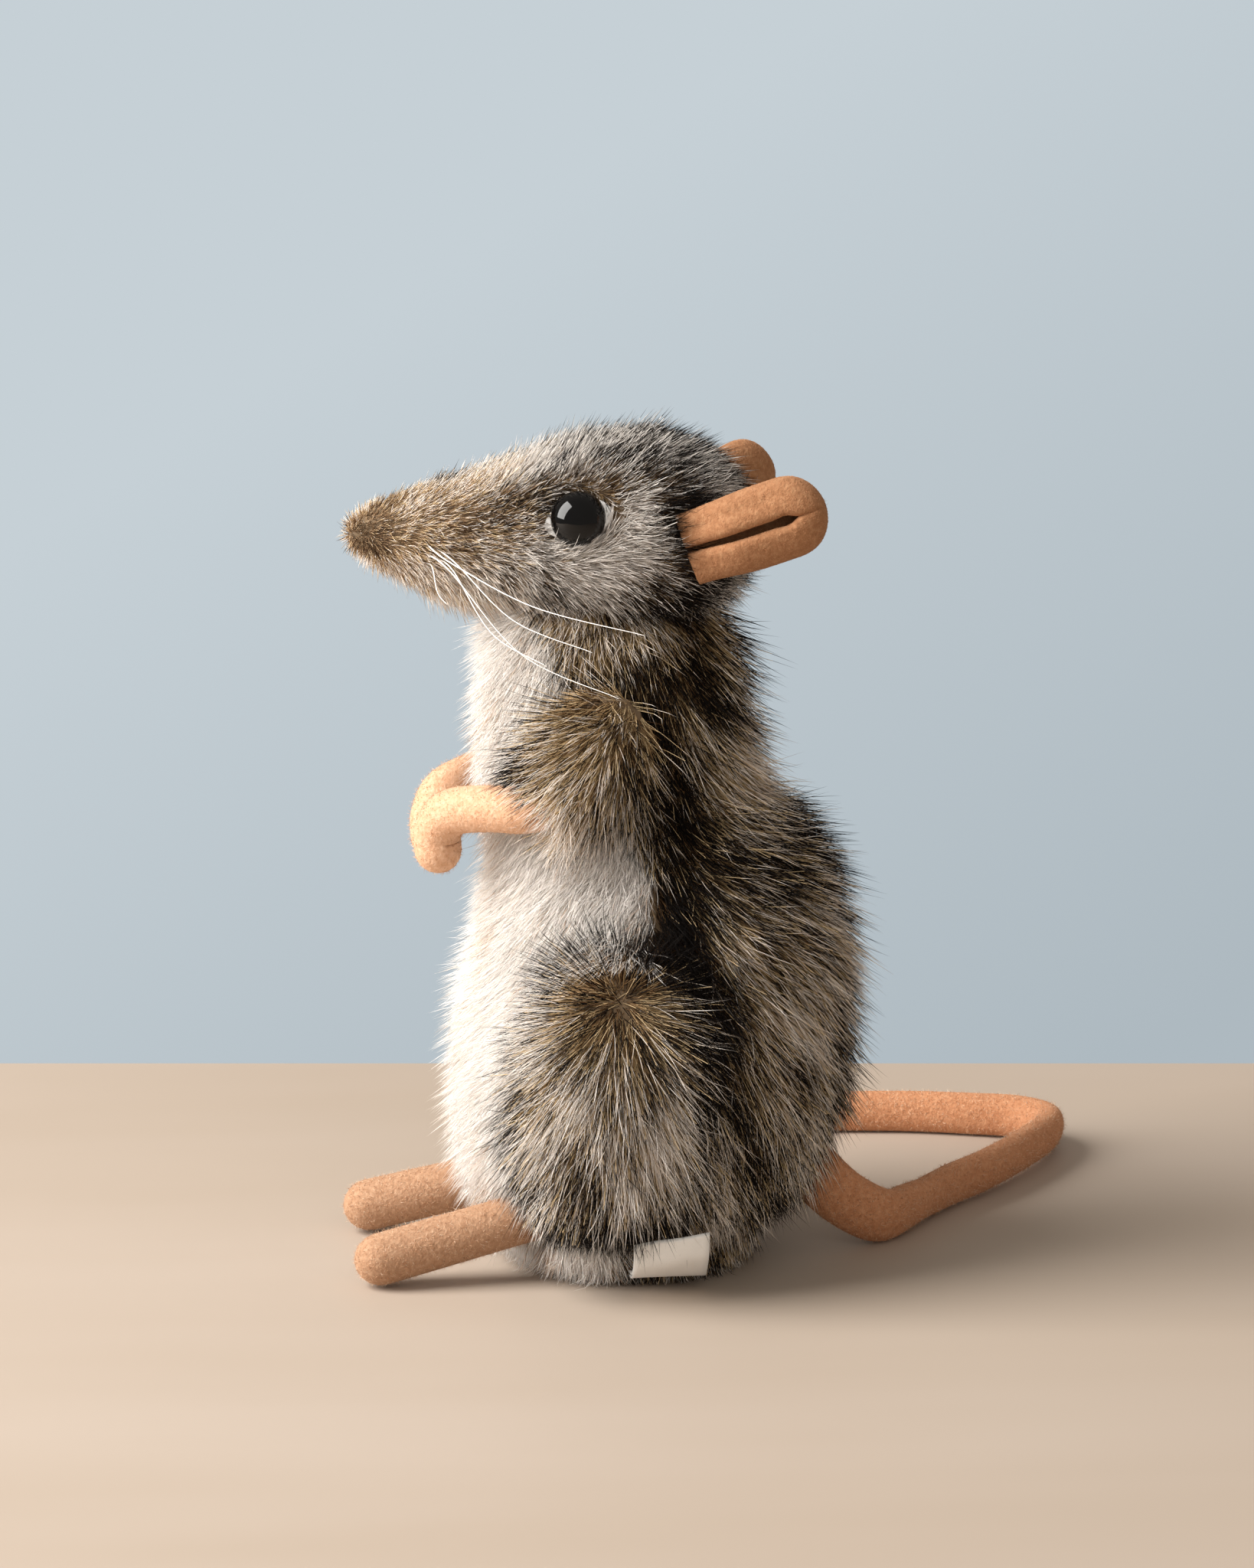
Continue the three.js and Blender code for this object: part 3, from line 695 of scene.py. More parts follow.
def comb(places, facing, look, kind, layer, rng):
    """The strands of one look and layer, as pieces that ride on its body."""
    count = len(places)
    leaders = rng.choice(count, max(count // STRANDS_PER_LOCK, 1), replace=False)
    lock = leaders[nearest_of(places[leaders])(places)]
    lines = strand_lines(places, facing, lock, look, layer, rng)
    picks = look.colors(kind, places[lock] if kind == 0 else places, rng)
    thick = layer.radius * look.thickness * rng.uniform(0.7, 1.2, count)
    for index, group in enumerate(np.array_split(np.arange(count), ceil(count / PILE_PER_PIECE))):
        name = f"{look.name}_{('undercoat', 'guard')[kind]}_{index + 1}"
        made = strand_mesh(name, lines[group], thick[group], picks[group], rng)
        declare(made, look.slot, look.body, bends=True)


def whole(value):
    """The same value at every place."""
    return lambda places: np.full(len(places), float(value))


# ---- skins and stuffing

def declare(made, slot, body, bends=False):
    """Attaches a soft piece to its body; the slot is not used. A bending piece of the torso that reaches the
    neck
    is attached to no body: its placement is applied to its points."""
    top = max(corner[2] for corner in made.bound_box)
    if bends and body == "torso" and top > NECK_START[2]:
        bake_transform(made)
    else:
        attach(made, body)


def skins(form, nodes):
    """A cloth piece for each CAD panel, from the faces nearest to it. Gives the faces' centres and panels."""
    centres = form.points[form.faces].mean(axis=1)
    owner = nearest_node(centres, nodes)
    for index, node in enumerate(nodes):
        thick = changed(part_of(form, owner == index), "SOLIDIFY", thickness=CLOTH * MM, offset=-1)
        cloth = CREAM_CLOTH if node in CREAM_PANELS else AGOUTI_CLOTH
        made = build(f"{node}_skin", thick.points, [thick.faces], [cloth])
        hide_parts(node)
        declare(made, "base_cloth", frame["nodes"][node]["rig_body"], bends=True)
    return centres, owner


def stuffing(node, shrink, voxel=3.0):
    """Lumpy fibre in place of a plain CAD filling."""
    form = changed(node_form(node), "REMESH", mode="VOXEL", voxel_size=voxel * MM)
    form = changed(largest_part(form), "SMOOTH", factor=0.5, iterations=3)
    form = offset(form, -shrink - 0.35 * (1 + ripple(form.points, 6, 7)))
    form = changed(form, "SUBSURF", levels=1, render_levels=1)
    made = build(f"{node}_fibre", form.points, [form.faces], [FIBRE])
    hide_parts(node)
    declare(made, "fibre_fill", frame["nodes"][node]["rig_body"])


SIDES = {"left": 1, "right": -1}


# Torso
def torso_inset(points, normals):
    """Less pile under the base, and cloth nearer to the surface at the belly."""
    belly = ramp(-normals[:, 1], 0.1, 0.6) * ramp(-points[:, 1], 10, 25)
    inset = PILE_INSET + (BELLY_INSET - PILE_INSET) * belly
    return inset - (inset - 0.8) * ramp(-points[:, 2], -6, -3)


def arm_inset(points, normals):
    """No pile on the inner side, which lies against the body."""
    return PILE_INSET * ramp(normals[:, 0], -0.3, 0.4)


def head_inset(points, normals):
    return HEAD_INSET * (0.35 + 0.65 * ramp(points[:, 1], -60, -30)) + 1.6 * ramp(points[:, 2], 164, 173)


TORSO_PANELS = [
    "belly_panel", "base_panel", "back_panel_left", "back_panel_right", "thigh_left", "thigh_right",
]
TORSO_FILLINGS = ["body_stuffing", "pellet_pouch", "thigh_stuffing_left", "thigh_stuffing_right"]
HEAD_PANELS = ["head_panel_left", "head_panel_right", "crown_gusset", "chin_panel"]
CREAM_PANELS = ["belly_panel", "base_panel", "chin_panel"]

torso = stuffed_form(TORSO_PANELS + TORSO_FILLINGS, BODY_VOXEL, torso_inset)
head = stuffed_form([*HEAD_PANELS, "head_stuffing"], HEAD_VOXEL, head_inset)
arms = {"left": stuffed_form(["upper_arm_left", "upper_arm_stuffing_left"], 3.0, arm_inset)}
arms["right"] = Form(mirrored(arms["left"].points), arms["left"].faces[:, ::-1])


def panel_finder(centres, owner, sway, shift, seed):
    """Function that gives the number of the panel at each place. Borders wander by the sway, and above the
    thighs they lie further back by the shift."""
    nearest = nearest_of(centres)

    def panel_of(places):
        aim = places.copy()
        aim[:, 1] += sway * ripple(places * (0.3, 0.3, 1), 9, seed) - shift * ramp(places[:, 2], 68, 78)
        return owner[nearest(aim)]

    return panel_of


torso_panel_of = panel_finder(*skins(torso, TORSO_PANELS), 2.5, 4, 51)
head_panel_of = panel_finder(*skins(head, HEAD_PANELS), 0, 0, 52)
for side in SIDES:
    skins(arms[side], [f"upper_arm_{side}"])

stuffing("body_stuffing", 1.6)
stuffing("head_stuffing", 0.8, 2.5)
stuffing("pellet_pouch", 0.2)
for side in SIDES:
    stuffing(f"thigh_stuffing_{side}", 0.9)
    stuffing(f"upper_arm_stuffing_{side}", 0.9, 2.4)
    stuffing(f"forepaw_stuffing_{side}", 0.1, 1.5)
    stuffing(f"hind_foot_stuffing_{side}", 0.1, 1.5)
stuffing("tail_stuffing", 0.1, 1.5)


# ---- pile of each part

def level(value, *changes):
    """Function of places: a value, and for each change an amount, a place (X taken without its sign) and its
    spread, over which the amount falls away."""
    def at(places):
        spot = np.abs(places * (1, 0, 0)) + places * (0, 1, 1)
        return value + sum(amount * bump(spot, centre, spread) for amount, centre, spread in changes)
    return at


def rule(palettes, dark, seed):
    """Colour rule of one family of palettes."""
    def colors(kind, places, rng):
        return by_darkness(palettes[kind], places, dark(places), SPREADS[kind], seed, rng)
    return colors


def torso_keep(places):
    """No pile inside the head and the arms, round the limbs or under the base."""
    kept = (depth_in(head, places) < 2.5) & (places[:, 2] > 2.5)
    for arm in arms.values():
        kept &= depth_in(arm, places) < 2.2
    for sign in SIDES.values():
        kept &= clear_of(places, np.array([HIP, TOE]) * (sign, 1, 1), LIMB_GAP)
    return kept & clear_of(places, TAIL_PATH[:4], LIMB_GAP)


def back_flow(places):
    """Down, turning backwards over the hump, and fanning from side to side in tufts."""
    flow = np.tile([0.0, 0.15, -1.0], (len(places), 1))
    flow += bump(places, (0, 30, 93), (90, 22, 14))[:, None] * (0, 0.9, 0.2)
    flow += bump(places, (0, 14, 80), (90, 16, 24))[:, None] * (0, 0.35, 0)
    flow[:, 0] += 0.2 * ripple(places, 14, 21)
    flow[:, 1] += 0.2 * ripple(places, 13, 22)
    return flow


def back_length(places):
    z = places[:, 2]
    nape = ramp(z, 98, 118) * ramp(-places[:, 1], -12, -2)
    rump = bump(places, (0, 38, 16), (90, 16, 14))
    return (13 - 3.5 * nape - 7.5 * ramp(-z, -26, -10) - 2 * rump) * (1 + 0.1 * ripple(places, 6, 23))


def back_lift(places):
    hump = bump(places, (0, 32, 92), (90, 14, 12))
    nape = bump(places, (0, 18, 126), (20, 9, 18))
    return np.radians(26 + 20 * hump + 22 * nape + 7 * ripple(places, 5, 24))


back_dark = level(
    0.32,
    (0.58, (30, 0.5, 80), (90, 5, 34)), (0.38, (10, 30, 93), (90, 12, 8)), (0.35, (20, 0, 128), (90, 7, 8)),
    (-0.2, (20, 11, 108), (90, 7, 10)), (0.2, (30, 10, 64), (90, 10, 16)), (-0.06, (30, 6, 20), (90, 12, 18)),
    (0.35, (12, 16, 136), (90, 8, 8)),
)


def belly_flow(places):
    flow = np.tile([0.0, -0.2, -1.0], (len(places), 1))
    flow[:, 0] += 0.4 * ripple(places, 12, 25)
    flow[:, 1] += 0.25 * ripple(places, 9, 53)
    return flow


belly_length = level(9.6, (-2.2, (8, -30, 118), (60, 30, 26)))


def belly_dark(places):
    """Cream, with a slightly warmer beige towards the sides under the arms, where it is a painted shade."""
    side = ramp(places[:, 1], -28, -6) * ramp(-places[:, 2], -118, -100) * ramp(places[:, 2], 60, 72)
    return 0.14 + 0.02 * side


def fan_from(centre, pull):
    """Flow away from a whorl, with a steady pull added."""
    return lambda places: unit(places - np.array(centre)) + np.array(pull)


def thigh_length(places):
    """Shorter towards the base and over the belly."""
    front = bump(places * (0, 1, 1), (0, -30, 62), (1, 9, 15))
    return 12.5 - 8 * ramp(-places[:, 2], -26, -10) - 4.5 * front


def thigh_lift(places):
    """The pile stands up as a crest above the whorl."""
    return np.radians(28 + 26 * ramp(places[:, 2], 60, 70) + 5 * ripple(places, 5, 54))


thigh_dark = level(
    0.31,
    (0.8, (40, -9, 72), (60, 20, 8)), (-0.1, (42, -18, 46), (60, 16, 14)), (0.2, (40, 7, 40), (60, 6, 30)),
    (0.5, (38, -12, 12), (60, 30, 9)),
)


def arm_keep(places):
    return depth_in(torso, places) < 1.5


arm_dark = level(0.3, (0.3, (28, -29, 114), (60, 6, 12)), (-0.2, (30, -20, 97), (60, 14, 7)))

cream_rule = rule(CREAMS, belly_dark, 32)
back_rule = rule(TAWNY, back_dark, 31)
thigh_rule = rule(AGOUTI, thigh_dark, 33)
arm_rule = rule(TAWNY, arm_dark, 34)


def torso_looks():
    belly = Look("belly", "torso", "cream_pile", belly_flow, belly_length, whole(radians(38)),
                 cream_rule, density=1.3, thickness=0.8, clump=0.6)
    back = Look("back_left", "torso", "agouti_pile", back_flow, back_length, back_lift,
                back_rule, density=1.0, thickness=1.0, clump=1.0)
    looks = [belly, belly._replace(name="base", length=whole(5)), back, back._replace(name="back_right")]
    for side, sign in SIDES.items():
        whorl = fan_from((44 * sign, -9, 67), (0, 0, -0.15))
        looks.append(Look(f"thigh_{side}", "torso", "agouti_pile", whorl, thigh_length, thigh_lift,
                          thigh_rule, density=1.05, thickness=1.0, clump=1.0))
    return looks


coat(torso, 101, torso_looks(), torso_panel_of, torso_keep)
for side, sign in SIDES.items():
    whorl = fan_from((25 * sign, -3, 142), (0, -0.75, -0.2))
    look = Look(f"arm_{side}", f"{side}_arm", "agouti_pile", whorl, whole(11.5), whole(radians(32)),
                arm_rule, density=1.15, thickness=0.95, clump=1.0)
    coat(arms[side], 102, [look], lambda places: np.zeros(len(places), int), arm_keep)


# Head
def head_keep(places):
    """No pile on the eyes and their backings or against the neck."""
    kept = depth_in(torso, places) < 0.5
    for sign in SIDES.values():
        away = (places - (EYE_AT + (0, 0.7, 0)) * (sign, 1, 1)) / (7, 7.4, 3.1)
        kept &= (away ** 2).sum(1) > 1
    return kept


def head_flow(places):
    """Back from the nose, up over the crown, down over the cheeks, and round the eyes."""
    flow = np.tile([0.0, 1.0, 0.0], (len(places), 1))
    cheek = ramp(-places[:, 2], -154, -138) * ramp(places[:, 1], -50, -25)
    flow[:, 2] -= 0.75 * cheek
    flow[:, 2] += 0.3 * ramp(places[:, 2], 160, 168)
    for sign in SIDES.values():
        away = places - EYE_AT * (sign, 1, 1)
        near = np.exp(-(np.linalg.norm(away, axis=1) / 9) ** 2)[:, None]
        flow += near * unit(away) * (0.3, 1.1, -1.4)
    flow[:, 2] += 0.2 * ripple(places, 7, 26)
    return flow


def head_length(places):
    y, z = places[:, 1], places[:, 2]
    length = 2.6 + 1.6 * ramp(y, -60, -44) + 3.2 * ramp(y, -44, -18) + 2.6 * ramp(-z, -148, -136)
    chin = bump(places * (0, 1, 1), (0, -44, 146), (1, 14, 6))
    near = bump(places * (0, 1, 1), (0, EYE_AT[1], EYE_AT[2]), (1, 9, 8))
    ear = bump(places * (0, 1, 1), (0, 2, 156), (1, 5, 11))
    return length * (1 - 0.3 * near) + 2.2 * chin + 2 * ear


def head_lift(places):
    tip = ramp(-places[:, 1], 54, 61)
    chin = bump(places * (0, 1, 1), (0, -46, 146), (1, 16, 6))
    brow = bump(places * (0, 1, 1), (0, -18, 165), (1, 8, 3))
    lid = bump(places * (0, 1, 1), (0, EYE_AT[1], EYE_AT[2]), (1, 5, 8))
    return np.radians(26 + 4 * ramp(places[:, 2], 158, 170) + 30 * tip + 14 * chin + 16 * brow + 18 * lid
                      + 6 * ripple(places, 5, 27))


head_dark = level(
    0.34,
    # The first change darkens the pile round the root of the ear: a painted shade.
    (0.75, (21, 1, 156), (9, 6, 16)), (0.3, (20, 2, 140), (12, 12, 7)), (-0.34, (20, -18, 151), (12, 14, 6)),
    (0.7, (15, -22, 163.5), (9, 9, 4)), (0.15, (18, -3, 170), (30, 9, 6)),
    (-0.45, (9, -34, 167), (14, 14, 6)), (0.2, (14, -31, 161), (7, 8, 4)),
)


def muzzle_top(places):
    """1 along the top of the muzzle, falling to 0 a few millimetres lower."""
    ridge = 161 + 0.44 * (places[:, 1] + 53)
    return ramp(places[:, 2] - ridge, -6, -1)


def snout_dark(places):
    """Brown at the sides, paler along the top and below, and dark at the nose."""
    low = ramp(152 - places[:, 2], 0, 5)
    patches = 0.12 * ripple(places, 5, 39)
    side = level(0.28, (-0.25, (12, -40.5, 153.5), (20, 5, 4)), (0.25, (12, -34, 156.5), (20, 4, 5)))
    return side(places) + 0.08 * muzzle_top(places) - 0.45 * low + 0.2 * ramp(-places[:, 1], 58, 62) + patches


def blend_rule(front, back, first, last):
    """One colour rule shading into another between two places along Y, sooner along the top of the muzzle."""
    def colors(kind, places, rng):
        share = ramp(places[:, 1] + 12 * muzzle_top(places) + 5 * ripple(places, 5, 28), first, last)
        behind = rng.random(len(places)) < share
        return np.where(behind[:, None], back(kind, places, rng), front(kind, places, rng))
    return colors


snout_rule = rule(SNOUTS, snout_dark, 36)
head_rule = blend_rule(snout_rule, rule(GREY, head_dark, 35), -42, -20)
chin_rule = blend_rule(rule(SNOUTS, whole(0.04), 38), rule(CREAMS, whole(0.4), 37), -52, -34)


def head_looks():
    slots = {"crown_gusset": "muzzle_pile", "chin_panel": "cream_pile"}
    rules = {"chin_panel": chin_rule}
    return [
        Look(name, "head", slots.get(name, "agouti_pile"), head_flow, head_length, head_lift,
             rules.get(name, head_rule), density=1.8, thickness=0.8, clump=0.8)
        for name in HEAD_PANELS
    ]


coat(head, 103, head_looks(), head_panel_of, head_keep)


# ---- felt

def nap(name, form, body, tones, density=2.6):
    """Loose fibres that stand off felt, in this many tones from the darkest."""
    rng = np.random.default_rng(len(name) * 31 + len(form.points))
    places, facing = surface_points(form, density, rng)
    count = len(places)
    flow = unit(np.cross(facing, rng.normal(size=(count, 3))))
    lift = rng.uniform(0.1, 0.9, (count, 1))
    length = rng.uniform(0.5, 1.4, (count, 1))
    tips = places + length * (flow * np.cos(lift) + facing * np.sin(lift))
    tips[:, 2] = np.maximum(tips[:, 2], 0.1)
    side = np.cross(facing, flow)
    corners = [
        places + 0.05 * (cos(angle) * side + sin(angle) * flow) - 0.1 * facing
        for angle in (0, 2 * pi / 3, 4 * pi / 3)
    ]
    points = np.stack([*corners, tips], axis=1).reshape(-1, 3)
    base = (np.arange(count) * 4)[:, None, None]
    faces = (np.array([(0, 1, 3), (1, 2, 3), (2, 0, 3), (2, 1, 0)])[None] + base).reshape(-1, 3)
    picks = np.repeat(rng.integers(0, tones, count), 4)
    declare(build(name, points, [faces], NAP, [picks]), "tan_felt", body)


def felt_piece(name, node, made_of, body, felt=FELT):
    points, faces = made_of
    made = build(name, points, faces, [felt])
    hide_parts(node)
    declare(made, "tan_felt", body)
    triangles = np.vstack([triangles_of(group) for group in faces])
    # The ears take only the darkest nap tone: painted shade.
    nap(f"{name}_nap", Form(points, triangles), body, 1 if felt is EAR_FELT_DEEP_SHADED else 3)


def on_side(side, made_of):
    """A shape made for the left side, or its mirror image for the right."""
    if side == "left":
        return made_of
    points, faces = made_of
    return mirrored(points), [group[:, ::-1] for group in faces]


def paw_section(s):
    return 4.8 - 0.3 * sin(pi * min(s * 1.4, 1)), 5.0 - 0.2 * sin(pi * s)


def foot_section(s):
    return 5.3 + 0.2 * s, 5.2 + 0.2 * s


def tail_section(s):
    wide = np.interp(s, [0, 0.1, 0.17, 0.22, 0.3, 0.6, 1], [6.0, 6.0, 5.4, 4.8, 4.9, 4.8, 4.3])
    thin = np.interp(s, [0, 0.1, 0.17, 0.22, 0.3, 0.6, 1], [3.8, 3.9, 4.0, 3.4, 3.5, 3.4, 3.2])
    return thin, wide


def ear_outline(y):
    """Height of the curled leaf, as a share of its greatest, at a distance from its pivot."""
    root = 0.9 + 0.1 * ramp(np.array(y), -2, 13)
    reach = max(0.0, (y - (EAR_LENGTH - EAR_TALL)) / EAR_TALL)
    return root * sqrt(max(1 - min(reach, 1) ** 2.3, 0.0005))


def ear_ring(y):
    """Section across the ear: one thickness of felt curled into a loop with two round lips."""
    size = ear_outline(y)
    half = min(EAR_FELT / 2, 0.42 * EAR_DEPTH * size)
    tip = ramp(np.array(y), 0.6 * EAR_LENGTH, 0.84 * EAR_LENGTH)
    gape = radians(17 + 5 * tip * (1 - tip) * 4 - 7 * tip)
    turn = np.linspace(gape, 2 * pi - gape, 44)
    flat = 0.54 + 0.46 * ramp(np.array(y), -3, 8)
    deep = (EAR_DEPTH * flat * size ** 0.6 - half) * np.cos(turn) - 2 * (1 - ramp(np.array(y), -3, 9))
    tall = (EAR_TALL * size - half) * np.sin(turn)
    along_x, along_z = np.gradient(deep), np.gradient(tall)
    out_x, out_z = along_z, -along_x
    long = np.hypot(out_x, out_z)
    out_x, out_z = out_x / long, out_z / long
    crease = 0.45 * np.exp(-((turn - gape - 0.42) / 0.12) ** 2) * (1 - tip)
    outer = np.stack([deep + (half - crease) * out_x, tall + (half - crease) * out_z], axis=1)
    inner = np.stack([deep - half * out_x, tall - half * out_z], axis=1)[::-1]
    loop = np.vstack([outer, lip(outer[-1], inner[0]), inner, lip(inner[-1], outer[0])])
    return np.stack([loop[:, 0], np.full(len(loop), y), loop[:, 1]], axis=1)


def lip(first, last):
    """Points of a half circle from one point round to another."""
    middle, arm = (first + last) / 2, (first - last) / 2
    across = np.array([arm[1], -arm[0]])
    turns = np.radians([30, 60, 90, 120, 150])
    return np.array([middle + cos(turn) * arm - sin(turn) * across for turn in turns])


def ear_shape(yaw, pitch):
    """Felt leaf curled lengthwise into a slipper, with its slit facing outwards, for the left side."""
    stations = -3 + (EAR_LENGTH + 3) * np.sin(np.linspace(0, 1, 30) * pi / 2)
    grid = np.array([ear_ring(y) for y in stations])
    turn = Matrix.Rotation(radians(-yaw), 3, "Z") @ Matrix.Rotation(radians(pitch), 3, "X")
    grid = grid @ np.array(turn).T + np.array(EAR_ROOT)
    return rings(grid, grid[0].mean(axis=0), grid[-1].mean(axis=0))


paw = tube(PAW_PATH, paw_section, 34)
foot = tube([HIP, TOE], foot_section, 16)
for side in SIDES:
    ear = ear_shape(*EAR_TURN[side])
    felt_piece(f"forepaw_{side}_felt", f"forepaw_{side}", on_side(side, paw), f"{side}_arm", PAW_FELT_LIT)
    felt_piece(f"hind_foot_{side}_felt", f"hind_foot_{side}", on_side(side, foot), f"{side}_foot", FOOT_FELT)
    felt_piece(f"ear_{side}_felt", f"ear_{side}", on_side(side, ear), f"{side}_ear", EAR_FELT_DEEP_SHADED)
felt_piece("tail_felt", "tail", tube(TAIL_PATH, tail_section, 110), "tail")


# ---- eyes and whiskers

EYE_BLACK = material("black_eye_glass", srgb(4, 4, 5), 0.06, Specular_IOR_Level=0.35)
WHISKER_NYLON = material("white_nylon", srgb(248, 246, 242), 0.35)
WASHER = material("washer_plastic", srgb(226, 226, 222), 0.5)
add_bump(WASHER, add_noise(WASHER, 600, 2), 0.2, 0.0002)


def facing_eye(points):
    """Turns points made round +Z so that they face as the left eye does, and puts them there."""
    turn = Vector((0, 0, 1)).rotation_difference(Vector(EYE_FACING)).to_matrix()
    return points @ np.array(turn).T + EYE_AT


def eye_shape():
    """Dome, rim and shank, turned from a profile of (radius, height)."""
    profile = [(1.7, -9), (1.7, -1.5), (EYE_RADIUS - 0.6, -1.0)]
    profile += [(EYE_RADIUS * cos(a), EYE_DOME * sin(a) - 0.5) for a in np.linspace(0, 1.5, 20)]
    turn = np.linspace(0, 2 * pi, 48, endpoint=False)
    grid = [np.stack([radius * np.cos(turn), radius * np.sin(turn), np.full(48, height)], axis=1)
            for radius, height in profile]
    points, faces = rings(np.array(grid), (0, 0, -9), (0, 0, EYE_DOME - 0.5))
    return facing_eye(points), faces


def backing_shape():
    """Almond of felt with pointed ends, hollowed to sit on the head."""
    turn = np.linspace(0, 2 * pi, 60, endpoint=False)
    along = np.cos(turn) * BACKING_LONG / 2
    tall = np.sin(turn) * BACKING_TALL / 2 * np.abs(np.sin(turn)) ** 0.35
    grid = []
    for size, height in BACKING_PROFILE:
        drop = np.full(60, height) - BACKING_HOLLOW * (along * size) ** 2
        grid.append(np.stack([tall * size, along * size, drop], axis=1))
    points, faces = rings(np.array(grid), (0, 0, -1.9), (0, 0, 0.2))
    return facing_eye(points), faces


def whisker_shape(index):
    tip = np.array(WHISKER_TIPS[index])
    root = np.array(WHISKER_ROOT) + np.array(WHISKER_SPREAD) * (index, index % 2, index)
    spring = np.array(WHISKER_SPRING) * np.linalg.norm(tip - root)
    path = [root, root + spring, root + (tip - root) * WHISKER_DROOP, tip]
    return tube(path, lambda s: (0.17 - 0.11 * s, 0.17 - 0.11 * s), 30, 6)


def face_pieces(side):
    """Name, node, shape, material and slot of the eye, its backing and the whiskers."""
    yield f"eye_{side}_dome", f"eye_{side}", eye_shape(), EYE_BLACK, "black_eye"
    yield f"eye_backing_{side}_felt", f"eye_backing_{side}", backing_shape(), WHITE_FELT, "white_felt"
    for index in range(len(WHISKER_TIPS)):
        node = f"whisker_{index + 1}_{side}"
        yield f"{node}_nylon", node, whisker_shape(index), WHISKER_NYLON, "whisker_nylon"


for side in SIDES:
    for name, node, made_of, finish, slot in face_pieces(side):
        points, faces = on_side(side, made_of)
        made = build(name, points, faces, [finish])
        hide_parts(node)
        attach(made, "head")
    washer = frame["nodes"][f"eye_washer_{side}"]
    washer.data.materials.clear()
    washer.data.materials.append(WASHER)


# ---- label

def label_ribbon():
    """Blank satin ribbon, folded double where it stands up and sewn into the seam at both its ends."""
    satin = material("label_satin", srgb(240, 238, 234), 0.42, Sheen_Weight=0.3)
    add_bump(satin, add_noise(satin, 2600, 1, (0.2, 1, 1)), 0.35, 0.0002)
    x, z = np.array(LABEL_PATH).T
    line = smooth_path(np.stack([x, np.zeros(len(x)), z], axis=1), 20)
    along = unit(np.gradient(line, axis=0))
    out = np.stack([along[:, 2], np.zeros(20), -along[:, 0]], axis=1)
    spread = 0.45 * np.sqrt(np.linspace(1, 0, 20))[:, None]
    loop = np.vstack([line + out * spread, (line - out * spread)[-2::-1]])
    widths = np.linspace(*LABEL_ENDS, 12)
    rows = []
    for y in widths:
        sway = 0.35 * sin(y * 0.55) * ramp(loop[:, 2], 4, 11)
        tilt = 0.14 * (y - LABEL_ENDS[0]) * ramp(loop[:, 0], 30, 37)
        rows.append(loop + np.stack([sway, np.full(len(loop), y), tilt], axis=1))
    grid = np.array(rows)
    count = len(loop)
    index = np.arange(len(widths) * count).reshape(len(widths), count)
    quads = np.stack([index[:-1, :-1], index[:-1, 1:], index[1:, 1:], index[1:, :-1]], axis=-1).reshape(-1, 4)
    cloth = Form(grid.reshape(-1, 3), quads)
    thick = changed(cloth, "SOLIDIFY", thickness=0.25 * MM, offset=0)
    made = build("sewn_label_ribbon", thick.points, [thick.faces], [satin])
    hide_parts("sewn_label")
    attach(made, "torso")


label_ribbon()


# ---- studio

def table_top():
    """Pale table whose far edge lies behind the mouse."""
    far, near = -162, 900
    points = np.array([
        (x, y, z) for z in (-30, -0.05) for x, y in ((far, -near), (near, -near), (near, near), (far, near))
    ], float)
    spin = np.array(Matrix.Rotation(radians(-5), 3, "Z"))
    faces = np.array([(3, 2, 1, 0), (4, 5, 6, 7), (0, 1, 5, 4), (1, 2, 6, 5), (2, 3, 7, 6), (3, 0, 4, 7)])
    finish = material("pale_wood", TABLE_COLOR, 0.6)
    grain = add_noise(finish, 12, 3, (1, 0.25, 1))
    color_by(finish, grain, [(0.3, srgb(176, 160, 144)), (0.7, srgb(182, 167, 153))])
    made = build("table", points @ spin.T, [faces], [finish])
    made.data.polygons.foreach_set("use_smooth", [False] * 6)
    made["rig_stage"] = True


def light(name, at, size, power, color):
    lamp = bpy.data.lights.new(name, "AREA")
    lamp.shape = "RECTANGLE"
    lamp.size, lamp.size_y = size
    lamp.energy = power
    lamp.color = color
    made = bpy.data.objects.new(name, lamp)
    made.location = at
    made.rotation_mode = "QUATERNION"
    made.rotation_quaternion = (Vector((0, 0, 0.08)) - Vector(at)).to_track_quat("-Z", "Y")
    made.visible_camera = False
    SCENE.collection.objects.link(made)
    return made


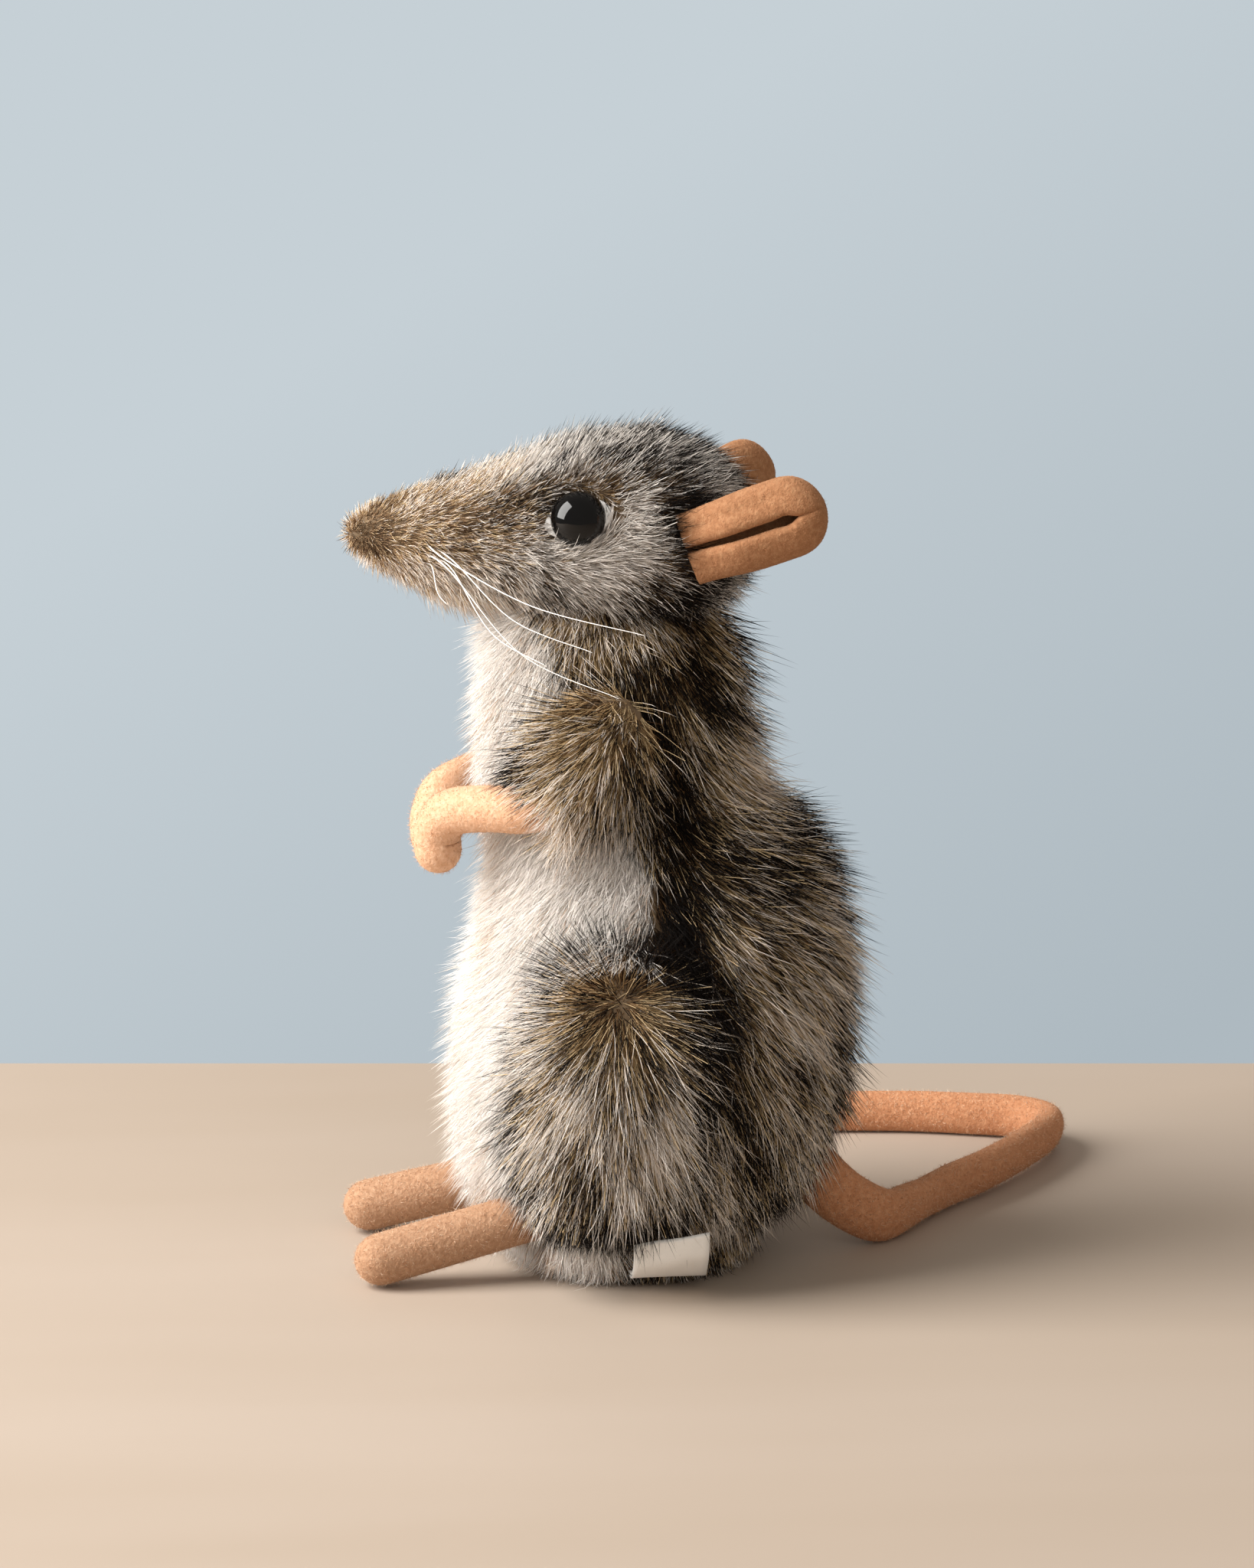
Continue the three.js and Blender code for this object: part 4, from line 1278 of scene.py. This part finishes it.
def sky():
    """A wall behind the table, seen only by the camera, with painted window light that leaves it paler at its
    upper left, and a dimmer, slightly warm room light.
    """
    world = bpy.data.worlds.new("room")
    SCENE.world = world
    world.use_nodes = True
    room = world.node_tree.nodes["Background"]
    room.inputs["Color"].default_value = ROOM_LIGHT
    room.inputs["Strength"].default_value = ROOM_STRENGTH
    place = add_node(world, "TexCoord", {})
    height = add_node(world, "VectorMath", {0: place.outputs["Generated"]})
    height.operation = "DOT_PRODUCT"
    height.inputs[1].default_value = WALL_LIGHT_RISE
    low, high = WALL_SPAN
    share = add_node(world, "MapRange", {"Value": height.outputs["Value"]}, From_Min=low, From_Max=high)
    colors = add_ramp(world, share.outputs["Result"], [(0, WALL_SHADED), (1, WALL_LIT)])
    wall = add_node(world, "Background", {"Color": colors})
    seen = add_node(world, "LightPath", {})
    mix = add_node(world, "MixShader", {
        "Fac": seen.outputs["Is Camera Ray"], 1: room.outputs["Background"], 2: wall.outputs["Background"],
    })
    world.node_tree.links.new(mix.outputs["Shader"], world.node_tree.nodes["World Output"].inputs["Surface"])


TABLE_COLOR = srgb(179, 164, 149)
# The wall's colours carry painted light: lit at its upper left, with painted shade lower down and to the
# right.
WALL_SHADED = srgb(174, 185, 192)
WALL_LIT = srgb(198, 208, 214)
WALL_LIGHT_RISE = (-0.09, -1, 1.6)    # painted window light: the wall grows paler upwards and to the left
WALL_SPAN = (-0.45, -0.2)
ROOM_LIGHT = srgb(240, 230, 218)
ROOM_STRENGTH = 0.38


def studio():
    table_top()
    sky()
    light("window", (0.15, -1.1, 0.85), (0.9, 1.3), 45, (1.0, 0.98, 0.95))
    light("fill", (1.6, 0.1, 0.9), (1.2, 1.2), 6, (1.0, 0.98, 0.95)).visible_glossy = False
    SCENE.view_settings.view_transform = "Standard"


def camera():
    lens = bpy.data.cameras.new("camera")
    lens.sensor_width = SENSOR
    lens.lens = SENSOR * CAMERA_DISTANCE / FRAME_HEIGHT
    made = bpy.data.objects.new("camera", lens)
    made.rotation_euler = (pi / 2 - VIEW_ELEVATION, 0, VIEW_AZIMUTH)
    made.location = made.rotation_euler.to_matrix() @ Vector((*AIM, CAMERA_DISTANCE))
    SCENE.collection.objects.link(made)
    SCENE.camera = made


studio()
camera()

boxes = {"cad": CAD_BOX, "visual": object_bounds()}
{name: [list(corner) for corner in box] for name, box in boxes.items()}
